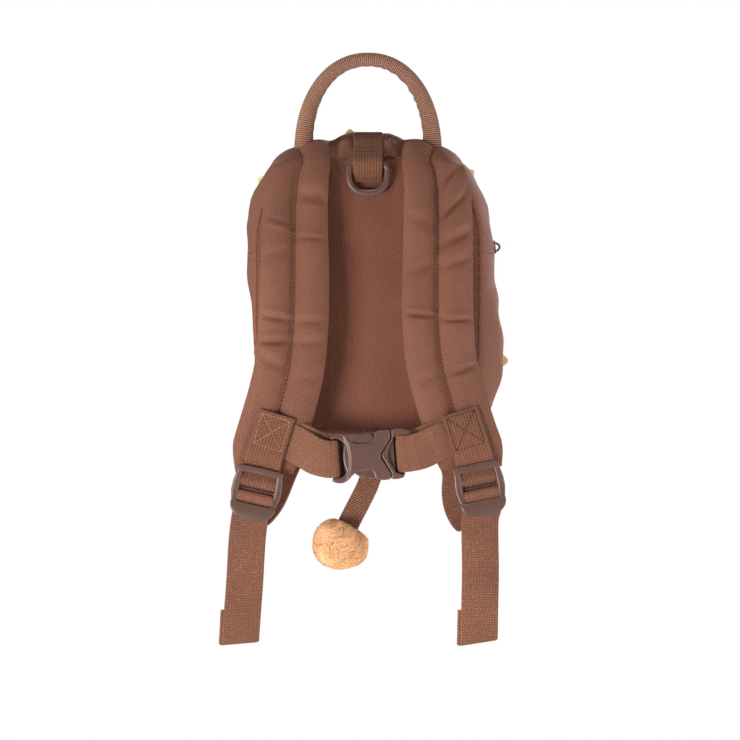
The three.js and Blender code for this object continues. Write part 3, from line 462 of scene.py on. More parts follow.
def loft(rings, comes_round=False, centre=0, uv=None, far=None):
    """Closed surface through rings[row, column]: columns close on themselves, ends to their middles."""
    rows, cols = rings.shape[:2]
    points = rings.reshape(-1, 3)
    quads = ring_quads(rows, cols, comes_round)
    uv = cloth_uv(rings, centre, comes_round, far) if uv is None else uv
    steps = len(quads) // cols
    here, next_ = uv[:steps], uv[1 : steps + 1]
    quad_uv = np.stack([here[:, :-1], next_[:, :-1], next_[:, 1:], here[:, 1:]], 2).reshape(-1, 4, 2)
    caps = np.zeros((0, 3), int)
    cap_uv = np.zeros((0, 3, 2))
    if not comes_round:
        points = np.concatenate([points, rings[[0, -1]].mean(1)])
        j = np.arange(cols)
        k = (j + 1) % cols
        base = (rows - 1) * cols
        first = np.stack([j, k, np.full(cols, rows * cols)], -1)
        last = np.stack([base + k, base + j, np.full(cols, rows * cols + 1)], -1)
        caps = np.concatenate([first, last])
        ends = np.broadcast_to(uv[[0, -1]].mean(1)[:, None], (2, cols, 2))
        first_uv = np.stack([uv[0, :-1], uv[0, 1:], ends[0]], 1)
        last_uv = np.stack([uv[-1, 1:], uv[-1, :-1], ends[1]], 1)
        cap_uv = np.concatenate([first_uv, last_uv])
    if signed_volume(points, quads) < 0:
        quads, quad_uv = quads[:, ::-1], quad_uv[:, ::-1]
        caps, cap_uv = caps[:, ::-1], cap_uv[:, ::-1]
    corner_uv = np.concatenate([quad_uv.reshape(-1, 2), cap_uv.reshape(-1, 2)])
    return points, quads.tolist() + caps.tolist(), corner_uv


def joined(parts):
    """Several point and face lists as one."""
    points, faces, uvs = [], [], []
    start = 0
    for part_points, part_faces, part_uv in parts:
        points.append(part_points)
        faces += [[start + k for k in face] for face in part_faces]
        uvs.append(part_uv)
        start += len(part_points)
    return np.concatenate(points), faces, np.concatenate(uvs)


def capsule(sides=6, rows=5):
    """A unit bead along X: half length 1/2, and radius the root of the sine of its turn from end to end."""
    turn = np.linspace(0.16, math.pi - 0.16, rows)[:, None]
    round_ = np.linspace(0, 2 * math.pi, sides, endpoint=False)[None, :]
    radius = 0.5 * np.sqrt(np.sin(turn))
    x = -0.5 * np.cos(turn) + 0 * round_
    return loft(np.stack([x, radius * np.cos(round_), radius * np.sin(round_)], -1))


def copies(shape, at, axes):
    """One mesh of a shape set down many times: each copy's points are at + points x axes."""
    points, faces, uv = shape
    many = at[:, None, :] + np.einsum("pk,nkc->npc", points, axes)
    start = len(points) * np.arange(len(at))[:, None, None]
    quads = np.array([f for f in faces if len(f) == 4])
    caps = np.array([f for f in faces if len(f) == 3])
    quad_uv, cap_uv = uv[: quads.size], uv[quads.size :]
    corner_uv = np.concatenate([np.tile(quad_uv, (len(at), 1)), np.tile(cap_uv, (len(at), 1))])
    placed = [(start + same).reshape(-1, same.shape[1]).tolist() for same in (quads, caps)]
    return many.reshape(-1, 3), placed[0] + placed[1], corner_uv


def stitches(path, out, pitch, long, thick, lift=0.0):
    """Places and axes of threads laid end to end along a path: each is long by thick, set out by lift."""
    far = walked(path)
    count = max(1, int(far[-1] / pitch))
    places = (np.arange(count) + 0.5) * far[-1] / count
    along = unit(sampled(places, far, np.gradient(path, axis=0)))
    normal = unit(less_along(sampled(places, far, out), along))
    side = np.cross(normal, along)
    axes = np.stack([along * long, side * thick, normal * thick], 1)
    return sampled(places, far, path) + normal * lift, axes


# The bag's surface
def even_outline():
    """Two half superellipses walked evenly from the bottom centre towards +X, with outward normals."""
    angle = np.linspace(0, 2 * math.pi, 6001)
    c, s = np.sin(angle), -np.cos(angle)
    upper = s >= 0
    power = 2 / np.where(upper, BAG["upper_power"], BAG["lower_power"])
    rise = np.where(upper, BAG["top"] - BAG["widest"], BAG["widest"] - BAG["bottom"])
    dense = np.stack([BAG["half"] * powered(c, power), BAG["widest"] + rise * powered(s, power)], -1)
    far = walked(dense)
    even = sampled(np.linspace(0, far[-1], OUTLINE_STEPS + 1)[:-1], far, dense)
    along = unit(np.roll(even, -3, 0) - np.roll(even, 3, 0))
    return *even.T, along[:, 1], -along[:, 0], far[-1]


*OUTLINE, GIRTH = even_outline()
ROUND = np.arange(OUTLINE_STEPS) / OUTLINE_STEPS


def outline_near(x, z):
    """Place round the outline that is nearest to a point."""
    return ROUND[np.argmin(np.hypot(OUTLINE[0] - x, OUTLINE[1] - z))]


def bag_point(u, v, grow=0.0):
    """Outer face of the gusset at u round the outline and v from back to front.

    The outline is pulled in by parabolas near each seam and by bell-shaped dents, and swung aside by a bell.
    """
    u, v, grow = np.broadcast_arrays(*(np.asarray(a, float) for a in (u, v, grow)))
    x, z, nx, nz = (np.interp(u % 1, ROUND, column, period=1) for column in OUTLINE)
    full = BAG["fullest"]
    back_inset = BAG["back_inset"] + BAG["top_inset"] * np.square(np.maximum(0, nz))
    near = back_inset * np.square(1 - v / full)
    inset = np.where(v < full, near, BAG["front_inset"] * np.square((v - full) / (1 - full)))
    dents = columns(DENT_COLUMNS, DENTS)
    wide = bell((u[..., None] % 1 - dents["u"]) / dents["span_u"])
    dent = np.sum(dents["deep"] * wide * bell((v[..., None] - dents["v"]) / dents["span_v"]), -1)
    out = grow - inset - dent * np.sin(math.pi * np.clip(v, 0, 1))
    pulled = np.sin(math.pi / 2 * np.clip(v / full, 0, 1))
    sway = SWAY["shift"] * pulled * bell((z - SWAY["height"]) / SWAY["spread"])
    return np.stack([x + nx * out + sway, BAG["back"] + v * BAG["depth"], z + nz * out], -1)


ZIP_END = outline_near(BAG["half"], ZIP["end"])
ZIP_FROM = BAG["fullest"] - ZIP["half"]
ZIP_TO = BAG["fullest"] + ZIP["half"]


def top_folds(u, deep):
    """Gathers at the top seam: bell-shaped pillows beside the ring loop, a pinch under it, fading waves."""
    wave, pillow, pinch, tuck = FOLDS.values()
    far = (u - 0.5) * GIRTH
    side = np.abs(far)
    fine = np.sin(far / wave["long"] + deep / wave["slant"] * np.sign(far) + wave["start"])
    fine = fine * np.exp(-deep / wave["fade"]) * bell(far / wave["wide"])
    swollen = bell((side - pillow["aside"]) / pillow["wide"])
    swollen = swollen * bell((deep - pillow["deep"]) / pillow["tall"])
    pinched = bell(far / pinch["wide"]) * np.exp(-deep / pinch["fade"])
    tucked = bell((side - tuck["aside"]) / tuck["wide"]) * bell((deep - tuck["deep"]) / tuck["tall"])
    drawn = pinch["high"] * (pinched + tuck["share"] * tucked)
    return wave["high"] * fine + pillow["high"] * swollen - drawn


def gusset(u0, u1, v0, v1, steps, turn_in=(SEAM_TURN, SEAM_TURN), sunk=0.0):
    """Cloth wall: rows step round the outline, each over the outer face and back along the inner one.

    The edges turn in by bell curves, and the cloth puckers there by a wave that fades with depth.
    """
    nu, nv = steps
    u = np.linspace(u0, u1, nu)[:, None]
    v = (v0 + (v1 - v0) * 0.5 * (1 - np.cos(np.linspace(0, math.pi, nv))))[None, :]
    from_seams = (v - v0) * BAG["depth"], (v1 - v) * BAG["depth"]
    turned = sum(deep * bell(far / PUCKER["turn"]) for deep, far in zip(turn_in, from_seams))
    gathered = sum(deep * np.exp(-far / PUCKER["fade"]) for deep, far in zip(turn_in, from_seams))
    uneven = sum(size * np.sin(rate * u) for size, rate in PUCKER["uneven"])
    wave = np.sin(2 * math.pi * u * GIRTH / PUCKER["pitch"] + uneven)
    slow = np.sin(PUCKER["soft_waves"] * u * 2 * math.pi + PUCKER["soft_slant"] * v)
    soft = PUCKER["soft"] * slow * np.sin(math.pi * np.clip(v, 0, 1)) ** 2
    folds = top_folds(u, from_seams[0]) if v0 == 0 else 0
    lift = PUCKER["deep"] * wave * gathered + soft + folds - turned - sunk
    outer = bag_point(u, v, lift)
    inner = bag_point(u, v, lift - BAG["wall"])[:, ::-1]
    return loft(np.concatenate([outer, inner], 1), centre=nv // 2)


def panel(side):
    """Cap of the gusset: the rim drawn in by r and crowned by 1 - r squared, its edge rounded to a seam.

    A wave puckers the rim, and a bell-shaped dip lies under the ring loop.
    """
    shape = PANELS[side]
    v, sign = shape["v"], shape["sign"]
    u = np.linspace(0, 1, RIM["columns"], endpoint=False)
    rim = bag_point(u, v, BAG["seam_inset"])
    middle = rim.mean(0)
    level = BAG["back"] + v * BAG["depth"]
    uneven, rate = RIM["uneven"]
    wave = RIM["deep"] * np.sin(2 * math.pi * u * GIRTH / RIM["pitch"] + uneven * np.sin(rate * u))
    sag = shape["dip"] * bell((u - 0.5) * GIRTH / RIM["dip_wide"])
    rings = []
    for outer, rows in enumerate(RIM["rows"]):
        r = np.sin(np.linspace(RIM["least"], math.pi / 2, rows))
        r = r[::-1] if outer else r
        rounding = (1 - r ** RIM["square"]) ** RIM["round"]
        full = shape["edge"] + (shape["thick"] - shape["edge"]) * rounding
        depth = sign * (RIM["clear"] + shape["crown"] * (1 - r**2) + outer * full)
        near_rim = bell((1 - r) * RIM["half"] / RIM["fade"]) * (r < 1)
        dip = sag * bell((r - RIM["dip_at"]) / RIM["dip_span"])[:, None]
        flat = middle + (rim - middle) * r[:, None, None]
        flat[..., 1] = level + depth[:, None] + sign * wave * near_rim[:, None] + dip
        rings.append(flat)
    rings = np.concatenate(rings)
    closed = np.concatenate([rings, rings[:, :1]], 1)
    return loft(rings, uv=closed[..., [0, 2]])


def rim_path(side, share):
    """A line on a panel, its rim drawn in to a share of its size, with the way out of the panel."""
    shape = PANELS[side]
    rim = bag_point(np.linspace(0, 1, 960), shape["v"], BAG["seam_inset"])
    path = rim.mean(0) + (rim - rim.mean(0)) * share
    path[:, 1] = BAG["back"] + shape["v"] * BAG["depth"] + shape["sign"] * shape["seam"]
    return path, np.broadcast_to(DEEP * shape["sign"], path.shape)


# Bands and pads
def band_section(count, ribs, cord):
    """Half thickness over a band's width w from -1 to 1: round selvedges, cords as a rectified cosine."""
    w = np.sin(np.linspace(-math.pi / 2, math.pi / 2, count))
    if ribs:
        w = np.clip(np.linspace(-1, 1, count), -0.9995, 0.9995)
        w[0], w[-1] = -1, 1
    rise = np.sqrt(np.maximum(0, 1 - np.abs(w) ** WEB["selvedge"]))
    crown = np.abs(np.cos(math.pi * ribs * (w + 1) / 2)) if ribs else 1.0
    return w, rise * (1 - cord + cord * crown)


def band(rows, wide, step=0.9, ribs=13, cross=0.0, cord=0.16):
    """Webbing along a table of places: its section carried along the curve, with cross ribs as a sine."""
    _, at, side, face, _ = stations(columns(ROUTE_COLUMNS, rows), step)
    w, rise = band_section(4 * ribs + 1 if ribs else 17, ribs, cord)
    far = walked(at)
    ripple = 1.0
    if cross:
        ripple = 1 - WEB["ripple"] + WEB["ripple"] * np.sin(2 * math.pi * far / cross)[:, None]
    sway = WEB["wander"] * np.sin(far / WEB["wander_long"] + rows[0][0])[:, None]
    front = at[:, None] + side[:, None] * (w[:, None] * wide / 2 + sway[:, None])
    push = face[:, None] * (rise * WEB["thick"] / 2 * ripple)[..., None]
    rings = np.concatenate([front + push, (front - push)[:, -2:0:-1]], 1)
    return loft(rings, centre=len(w) // 2, far=far)


def in_lock(lock, places):
    """Places (depth, height) in a lock's own frame as rows of a route."""
    base = np.array([lock["x"], lock["y"], lock["z"]], float)
    up = upward(lock["tilt"])
    spots = [base + [0, depth, 0] + up * height for depth, height in places]
    return [(*spot, lock["tilt"]) for spot in spots]


def strap_stations(side):
    """Sections of a shoulder strap at even steps, and where its top lies on the outline."""
    table = columns(STRAP_COLUMNS, STRAPS[side])
    return stations(table, PAD["step"], square=False), outline_near(STRAP_TOP["home"][side], STRAP_TOP["z"])


def strap_point(side, w, h):
    """A place on a strap: across by w half widths and out by h, laid over the bag's rim by its drape."""
    (row, at, way, face, along), home = strap_stations(side)
    half, thick, drape = (row[k][:, None] for k in ("half", "thick", "drape"))
    outward = w * np.sign(at[0, 0])
    far = walked(at)[:, None]
    left = far[-1] - far
    end = np.clip(1 - left / STRAP_END["long"], 0, 1) ** 2
    taper = np.clip(1 - left / STRAP_END["taper"], 0, 1) ** 2
    inner = w * (1 - STRAP_END["narrow"][side] * taper * np.clip(outward, 0, 1))
    free = at[:, None] + way[:, None] * (inner * half)[..., None] + face[:, None] * h[..., None]
    free = free + along[:, None] * (STRAP_END["reach"][side] * end * (1 + outward) / 2)[..., None]
    v = row["v"][:, None]
    v = np.where(v > 0, v * (1 - INNER_DROP * (1 - outward)), v + 0 * w)
    lift = GAP + STRAP_TOP["lift"] - STRAP_TOP["sewn"] * np.clip(v / STRAP_TOP["sewn_v"], 0, 1)
    laid = bag_point(home - w * half / GIRTH, v, lift + thick / 2 + h)
    return free + (laid - free) * np.clip(drape, 0, 1)[..., None]


def strap_rise(side, w):
    """Half thickness of a strap: the root of 1 - |w| to a power, with a bell-shaped channel in the middle.

    Where the strap is thin, at its ends, the section is squarer and its channel shallower.
    """
    row = strap_stations(side)[0][0]
    thick = row["thick"][:, None]
    full = np.clip((thick - PAD["thin"]) / (PAD["full"] - PAD["thin"]), 0, 1)
    lobes, thin = (
        np.sqrt(np.maximum(0, 1 - np.abs(w) ** part["edge"]))
        * (part["share"] - part["channel"] * bell(w / part["wide"]))
        for part in (PAD_LOBES, PAD_ENDS)
    )
    return thick / 2 * (thin + (lobes - thin) * full)


def strap_creases(side, w, z):
    """Depth of the strap's cross creases: slanted bells, each with a lower ridge beside it.

    A crease fades by a power of a sine from the middle of its lobe to the edge and the channel.
    """
    deep = 0 * w * z
    table = columns(CREASE_COLUMNS, CREASES[side])
    for z0, part, depth, wide, slant in zip(*table.values()):
        line = z0 + slant * (w - part * 0.5) * CREASE["reach"]
        fade = np.sin(math.pi * np.clip(part * w * CREASE["over"], 0, 1)) ** CREASE["fade"]
        away = (z - line) / (CREASE["narrow"] * wide)
        ridge = CREASE["ridge"] * bell((away - CREASE["beside"]) / CREASE["ridge_wide"])
        deep = deep + depth * (bell(away) - ridge) * fade
    return CREASE["scale"] * deep


def eased(rows):
    """Inner rows, each as half itself and a quarter of both its neighbours."""
    return 0.25 * rows[:-2] + 0.5 * rows[1:-1] + 0.25 * rows[2:]


def strap(side):
    """Closed strap surface: front from edge to edge, then back, for each section, with the top end eased."""
    w = np.sin(np.linspace(-math.pi / 2, math.pi / 2, PAD["columns"]))[None, :]
    rise = strap_rise(side, w)
    front = strap_point(side, w + 0 * rise, rise)
    back = strap_point(side, w + 0 * rise, -rise)
    rings = np.concatenate([front, back[:, -2:0:-1]], 1)
    for _ in range(STRAP_TOP["passes"]):
        rings[1 : STRAP_TOP["rows"]] = eased(rings)[: STRAP_TOP["rows"] - 1]
    return rings, w[0]


# Padding by cloth simulation
SIM = {"unit": 0.1, "frames": 18, "passes": 3}
CLOTH = {
    "quality": 5, "mass": 0.08, "tension_stiffness": 18, "compression_stiffness": 18, "shear_stiffness": 6,
    "bending_stiffness": 0.6, "air_damping": 3, "use_pressure": True, "uniform_pressure_force": 2.2,
    "vertex_group_mass": "sewn", "shrink_min": -0.02,
}


def set_all(thing, **settings):
    """A thing of Blender's with its settings written one by one."""
    for name, value in settings.items():
        setattr(thing, name, value)
    return thing


def pad_out(rings, pinned, cap):
    """The rings swollen by a cloth simulation under pressure, with sewn points held and each move capped."""
    points, faces, _ = loft(rings)
    obj = object_of("padding", mesh_of("padding", points, faces, scale=SIM["unit"]))
    group = obj.vertex_groups.new(name=CLOTH["vertex_group_mass"])
    ends = [len(points) - 2, len(points) - 1]
    group.add(np.flatnonzero(pinned).tolist() + ends, 1.0, "REPLACE")
    cloth = obj.modifiers.new("cloth", "CLOTH")
    set_all(cloth.settings, **CLOTH)
    cloth.settings.effector_weights.gravity = 0
    cloth.collision_settings.use_collision = False
    set_all(cloth.point_cache, frame_start=1, frame_end=SIM["frames"])
    for number in range(1, SIM["frames"] + 1):
        bpy.context.scene.frame_set(number)
    view = bpy.context.evaluated_depsgraph_get()
    moved = np.zeros(len(points) * 3, np.float32)
    obj.evaluated_get(view).data.vertices.foreach_get("co", moved)
    bpy.context.scene.frame_set(1)
    bpy.data.objects.remove(obj, do_unlink=True)
    step = moved[: rings.size].reshape(rings.shape) / SIM["unit"] - rings
    for _ in range(SIM["passes"]):
        step[1:-1] = eased(step)
    size = np.linalg.norm(step, axis=-1, keepdims=True)
    return rings + step * np.minimum(1, cap / np.maximum(size, 1e-9))


# Moulded pieces
def rounded(path, half_a, half_b, axis_a, axis_b, power=4.0, sides=32):
    """Rounded bar: superellipses with half sizes a and b carried along a path of points."""
    angle = np.linspace(0, 2 * math.pi, sides, endpoint=False)
    rings = np.asarray(path, float)[:, None]
    for half, axis, turn in ((half_a, axis_a, np.cos(angle)), (half_b, axis_b, np.sin(angle))):
        half = np.broadcast_to(np.asarray(half, float), len(path))[:, None, None]
        rings = rings + half * powered(turn, 2 / power)[None, :, None] * np.asarray(axis, float)
    return loft(rings)


def curve(start, *steps):
    """Outline from a start point: a step is a corner (x, z), or (bend x, bend z, x, z), a quadratic arc."""
    points = [np.array([start], float)]
    t = np.linspace(0, 1, 13)[1:, None]
    for step in steps:
        here, end = points[-1][-1], np.array(step[-2:], float)
        arc = end[None]
        if len(step) == 4:
            arc = (1 - t) ** 2 * here + 2 * t * (1 - t) * np.array(step[:2], float) + t**2 * end
        points.append(arc)
    outline = np.concatenate(points)
    same = np.linalg.norm(outline - np.roll(outline, 1, 0), axis=1) < 1e-6
    return outline[~same]


def oblong(x0, x1, half):
    """Upright oblong outline from x0 to x1."""
    return curve((x0, half), (x0, -half), (x1, -half), (x1, half))


def plate(outline, y0, y1, bevel):
    """Outline in x and z carried from depth y0 to y1, drawn in along its normals at both faces."""
    step = np.roll(outline, -1, 0) - np.roll(outline, 1, 0)
    area = np.sum(outline[:, 0] * np.roll(outline[:, 1], -1) - outline[:, 1] * np.roll(outline[:, 0], -1))
    normal = unit(np.stack([step[:, 1], -step[:, 0]], -1)) * np.sign(area)
    turn = np.linspace(0, math.pi / 2, 5)
    inset = np.concatenate([bevel * (1 - np.sin(turn)), bevel * (1 - np.cos(turn))])
    depth = np.concatenate([y0 + bevel * (1 - np.cos(turn)), y1 - bevel * (1 - np.sin(turn))])
    flat = outline[None] - normal[None] * inset[:, None, None]
    deep = np.broadcast_to(depth[:, None], flat.shape[:2])
    rings = np.stack([flat[..., 0], deep, flat[..., 1]], -1)
    rows, cols = rings.shape[:2]
    points, faces, _ = loft(rings)
    body = [f for f in faces if len(f) == 4]
    first, last = list(range(cols)), list(range((rows - 1) * cols, rows * cols))
    flipped = body[0][0] > body[0][1]
    ends = [first[::-1] if flipped else first, last if flipped else last[::-1]]
    return points[: rows * cols], body + ends, np.zeros((4 * len(body) + 2 * cols, 2))


def modified(obj, kind, **settings):
    """A new modifier on an object, with its settings."""
    return set_all(obj.modifiers.new(kind.lower(), kind), **settings)


def fused(parts, skin, cut=None):
    """Points and faces of parts fused into one skin by a fine voxel mesh, hollowed by a cut, smoothed."""
    voxel, passes = skin
    obj = object_of("fused", mesh_of("fused", *joined(parts)[:2], scale=1.0))
    used = [obj]
    modified(obj, "REMESH", mode="VOXEL", voxel_size=voxel)
    if cut:
        used.append(object_of("cut", mesh_of("cut", *cut[:2], scale=1.0)))
        modified(obj, "BOOLEAN", operation="DIFFERENCE", object=used[1], solver="MANIFOLD")
        modified(obj, "REMESH", mode="VOXEL", voxel_size=voxel)
    modified(obj, "SMOOTH", factor=0.5, iterations=passes)
    made = obj.evaluated_get(bpy.context.evaluated_depsgraph_get()).to_mesh()
    points = np.zeros(len(made.vertices) * 3, np.float32)
    made.vertices.foreach_get("co", points)
    quads = np.zeros(len(made.polygons) * 4, np.int32)
    made.loops.foreach_get("vertex_index", quads)
    for tool in used:
        bpy.data.objects.remove(tool, do_unlink=True)
    return points.reshape(-1, 3).astype(float), quads.reshape(-1, 4).tolist()


def settled(points, place):
    """Points of a tilted frame set down at its place."""
    a = math.radians(place["tilt"])
    x, y, z = points.T
    turned = np.stack([x * math.cos(a) + z * math.sin(a), y, z * math.cos(a) - x * math.sin(a)], -1)
    return turned + [place["x"], place["y"], place["z"]]


def ladder_lock(side):
    """Ladder lock: side rails, rim, two bars, a toothed grip and a thumb lip, each a rounded bar, fused."""
    half = LOCK["wide"] / 2
    x, y, z = np.eye(3)
    rail = columns(LOCK_RAIL_COLUMNS, LOCK_RAIL)
    stout = LOCK["stout"] + np.clip(rail["flare"], -1, 1) / 2
    parts = []
    for s in (-1, 1):
        aside = s * (half - LOCK["stout"] + rail["flare"])
        path = np.stack([aside, (rail["front"] + rail["behind"]) / 2, rail["z"]], -1)
        parts.append(rounded(path, stout, (rail["behind"] - rail["front"]) / 2, x, y))
    reach = np.linspace(-1, 1, 25)
    wide = np.stack([reach * (half - LOCK["inset"]), 0 * reach, 0 * reach], -1)
    bow = LOCK["bow"] * (1 - reach**2)
    rim = wide + np.stack([0 * reach, LOCK_RIM["y"] + 0 * reach, LOCK_RIM["z"] + bow], -1)
    parts.append(rounded(rim, *LOCK_RIM["halves"], y, z))
    for height in LOCK_BARS["heights"]:
        parts.append(rounded(wide + [0, 0, height], *LOCK_BARS["halves"], y, z, LOCK_BARS["power"]))
    grip = wide + [0, LOCK_GRIP["y"], LOCK_GRIP["z"]]
    parts.append(rounded(grip, *LOCK_GRIP["halves"], y, z, LOCK_GRIP["power"]))
    last, thin = half - LOCK_TEETH["inset"], LOCK_TEETH["halves"]
    for tooth in np.linspace(-last, last, LOCK_TEETH["count"]):
        spike = [(tooth, deep, LOCK_GRIP["z"]) for deep in LOCK_TEETH["depths"]]
        parts.append(rounded(spike, thin, thin, x, z, 2.0, 12))
    drop = np.sin(np.linspace(0, LOCK_LIP["turn"], 24))
    lip_half = (half - LOCK_LIP["inset"]) * np.sqrt(1 - drop ** LOCK_LIP["round"])
    curl = LOCK_LIP["y"] - LOCK_LIP["curl"] * np.sin(math.pi * drop * LOCK_LIP["curl_turn"])
    lip = np.stack([0 * drop, curl, LOCK_LIP["z"] - LOCK_LIP["long"] * drop], -1)
    lip_thick = LOCK_LIP["thick"] - LOCK_LIP["thinned"] * drop**2
    parts.append(rounded(lip, lip_half, lip_thick, x, y, LOCK_LIP["power"], 64))
    points, faces = fused(parts, SKIN["lock"])
    return settled(points, LOCKS[side]), faces


def buckle_front(points):
    """Front relief of the buckle: a parabola for the crown, and a curved step to a bay by the left bar."""
    x, y, z = points.T
    shape = BUCKLE_FRONT
    front = np.clip((-y - BUCKLE["thick"] / 2 + shape["deep"]) / shape["over"], 0, 1)
    crown = shape["crown"] * (1 - np.square(z / shape["half"]))
    past_bay = (x + shape["bay_x"] + shape["bay_bend"] * z**2) / shape["bay_step"]
    bay = shape["bay"] / (1 + np.exp(past_bay))
    return np.stack([x, y + front * (bay - crown), z], -1)


def web_bar(sign, x0, x1):
    """Bar that a web turns round, left (-1) or right (1), and the thin floor behind its slot, x0 to x1."""
    rows = np.linspace(-BAR["half"], BAR["half"], 9)
    path = np.stack([sign * BAR["x"] + 0 * rows, 0 * rows, rows], -1)
    bar = rounded(path, BAR["round"], BAR["round"], (1, 0, 0), (0, 1, 0), 3.0)
    return [bar, plate(oblong(x0, x1, BAR["floor_half"]), *BAR["floor_deep"])]


def buckle_socket():
    """Socket: an outline with horns, a waist and a notched mouth, carried through and hollowed."""
    thick = BUCKLE["thick"]
    outline = curve(
        (16.2, 16.6), (11, 17.8, 5.8, 16.2), (5, 11.6, 2.8, 9), (-1.5, 8.4, -6, 9),
        (-10.2, 10.2, -13.2, 13.8), (-16, 17.2, -19.8, 16.8), (-23.2, 16.4, -24.8, 14.6),
        (-25.2, 13.6, -23.6, 13.4),
        (-19.8, 14.4, -16.8, 11.4), (-15.2, 9.4), (-18.6, 0.4, -15.4, -9), (-16.6, -12.8, -20.6, -13.2),
        (-24.6, -13.2), (-26.2, -14.4, -24.6, -15.6), (-18.6, -18.6, -13.8, -14.6), (-10.8, -11, -7.4, -9.8),
        (1.6, -9.6), (3.2, -10.4, 3.8, -15.6), (9, -17.6, 14.4, -16.4), (14.3, -12), (9.1, -2),
        (8, 0, 9.1, 1.9), (16, 11.4),
    )
    body = plate(outline, -thick / 2, thick / 2, SOCKET["bevel"])
    hollow = plate(oblong(*SOCKET["hollow"]), *SOCKET["hollow_deep"])
    points, faces = fused([body, *web_bar(-1, *SOCKET["floor"])], SKIN["buckle"], hollow)
    return settled(buckle_front(points), BUCKLE), faces


def buckle_plug():
    """Plug: a V-shaped end piece with horns, its web bar, and two prongs that show at the socket's waist."""
    thick = BUCKLE["thick"] - PLUG["thinner"]
    outline = curve(
        (16.9, 16.8), (16.7, 11.2), (9.8, 1.8), (8.8, 0, 9.8, -2), (14.9, -12), (15, -16.4),
        (18.5, -17.4, 23, -16), (24.2, -15, 23.2, -13.9), (20.4, -13.5, 18, -12.2), (13.3, -4),
        (12.4, 0, 13.5, 3), (18.6, 12.4), (23, 13, 28.8, 13.4), (30, 14.6, 28.6, 15.8),
        (23, 18.2, 16.9, 16.8),
    )
    parts = [plate(outline, -thick / 2, thick / 2, PLUG["bevel"]), *web_bar(1, *PLUG["floor"])]
    for s in (-1, 1):
        prong = curve(
            (14, s * 10.4), (14, s * 6), (-12, s * 6), (-11.6, s * 8.6), (-9.6, s * 11),
            (-5, s * 15.4, 2.8, s * 15.2), (4.6, s * 15, 5, s * 13), (5.4, s * 10.4),
        )
        parts.append(plate(prong, *PLUG["prong_deep"]))
    parts.append(plate(oblong(*PLUG["bridge"]), *PLUG["bridge_deep"]))
    points, faces = fused(parts, SKIN["buckle"])
    return settled(points, BUCKLE), faces


def ring_wire():
    """D-ring: round wire carried along a straight bar, two corners and a bowed lower half."""
    half, corner, wire = RING["half"], RING["corner"], RING["wire"]
    turn = np.linspace(math.pi / 2, 0, 13)
    right = np.stack([half - corner + corner * np.cos(turn), corner * np.sin(turn) - corner], -1)
    a = np.linspace(0, math.pi, 91)[1:-1]
    bow = -corner - (RING["drop"] - corner) * np.sin(a) ** (2 / RING["power"])
    low = np.stack([half * powered(np.cos(a), 2 / RING["power"]), bow], -1)
    straight = np.linspace(-half + corner, half - corner, 20)[1:-1]
    bar = np.stack([straight, 0 * straight], -1)
    path = np.concatenate([right, low, right[::-1] * [-1, 1], bar, right[:1]])
    far = walked(path)
    loop = sampled(np.linspace(0, far[-1], 181)[:-1], far, path)
    along = unit(np.roll(loop, -1, 0) - np.roll(loop, 1, 0))
    angle = np.linspace(0, 2 * math.pi, 28, endpoint=False)[None, :]
    out = wire * np.cos(angle)
    deep = RING["y"] + wire * 0.96 * np.sin(angle) + 0 * loop[:, :1]
    x = loop[:, :1] + along[:, 1:] * out
    z = RING["z"] + loop[:, 1:] - along[:, :1] * out
    return loft(np.stack([x, deep, z], -1), comes_round=True)


def handle_tube():
    """Handle: a tube along an arch, its ribs a sine of the way walked, with a bumpy seam under the arch."""
    angle = np.linspace(0, math.pi, 400)
    rise = HANDLE["deep"] - HANDLE["foot"]
    up = np.sin(angle) ** (2 / HANDLE["power"])
    x = HANDLE["span"] * powered(np.cos(angle), 2 / HANDLE["power"])
    arch = np.stack([x, HANDLE["lean"] * (1 - up), HANDLE["foot"] + rise * up], -1)
    root = np.linspace(-HANDLE["root"], 0, 12)[:-1]
    foot = np.stack([HANDLE["span"] + 0 * root, HANDLE["lean"] + 0 * root, HANDLE["foot"] + root], -1)
    path = np.concatenate([foot, arch, foot[::-1] * [-1, 1, 1]])
    far = walked(path)
    even = np.linspace(0, far[-1], HANDLE["rows"])
    path = sampled(even, far, path)
    out = unit(np.cross(unit(np.gradient(path, axis=0)), DEEP))
    turn = np.linspace(0, 2 * math.pi, HANDLE["columns"], endpoint=False)[None, :]
    rib = HANDLE["rib"] * np.sin(2 * math.pi * even / RIB_PITCH)[:, None]
    seam = HANDLE_SEAM
    patch = seam["least"] + (1 - seam["least"]) * bell((even - seam["at"] * even[-1]) / seam["span"])
    bumps = np.sin(even / seam["long"] + seam["uneven"] * np.sin(even / seam["slow"]))
    bumps = seam["lump"] * patch * bumps
    lump = bumps[:, None] * np.clip(np.cos(turn), 0, 1) ** seam["narrow"]
    low = np.clip((HANDLE["deep"] - path[:, 2:]) / rise, 0, 1)
    half = HANDLE["deep"] + HANDLE["proud"] + HANDLE["swell"] * low
    rings = path[:, None] + out[:, None] * ((half + rib + lump) * np.cos(turn))[..., None]
    rings = rings + DEEP * ((HANDLE["across"] + rib) * np.sin(turn))[..., None]
    return loft(rings, far=even)


def on_zip(u, lift, span):
    """Places on the zip's middle line set out by lift, with the ways along it and out of it."""
    middle = BAG["fullest"]
    along = unit(bag_point(u + span, middle) - bag_point(u - span, middle))
    return bag_point(u, middle, lift), along, unit(np.cross(DEEP, along))


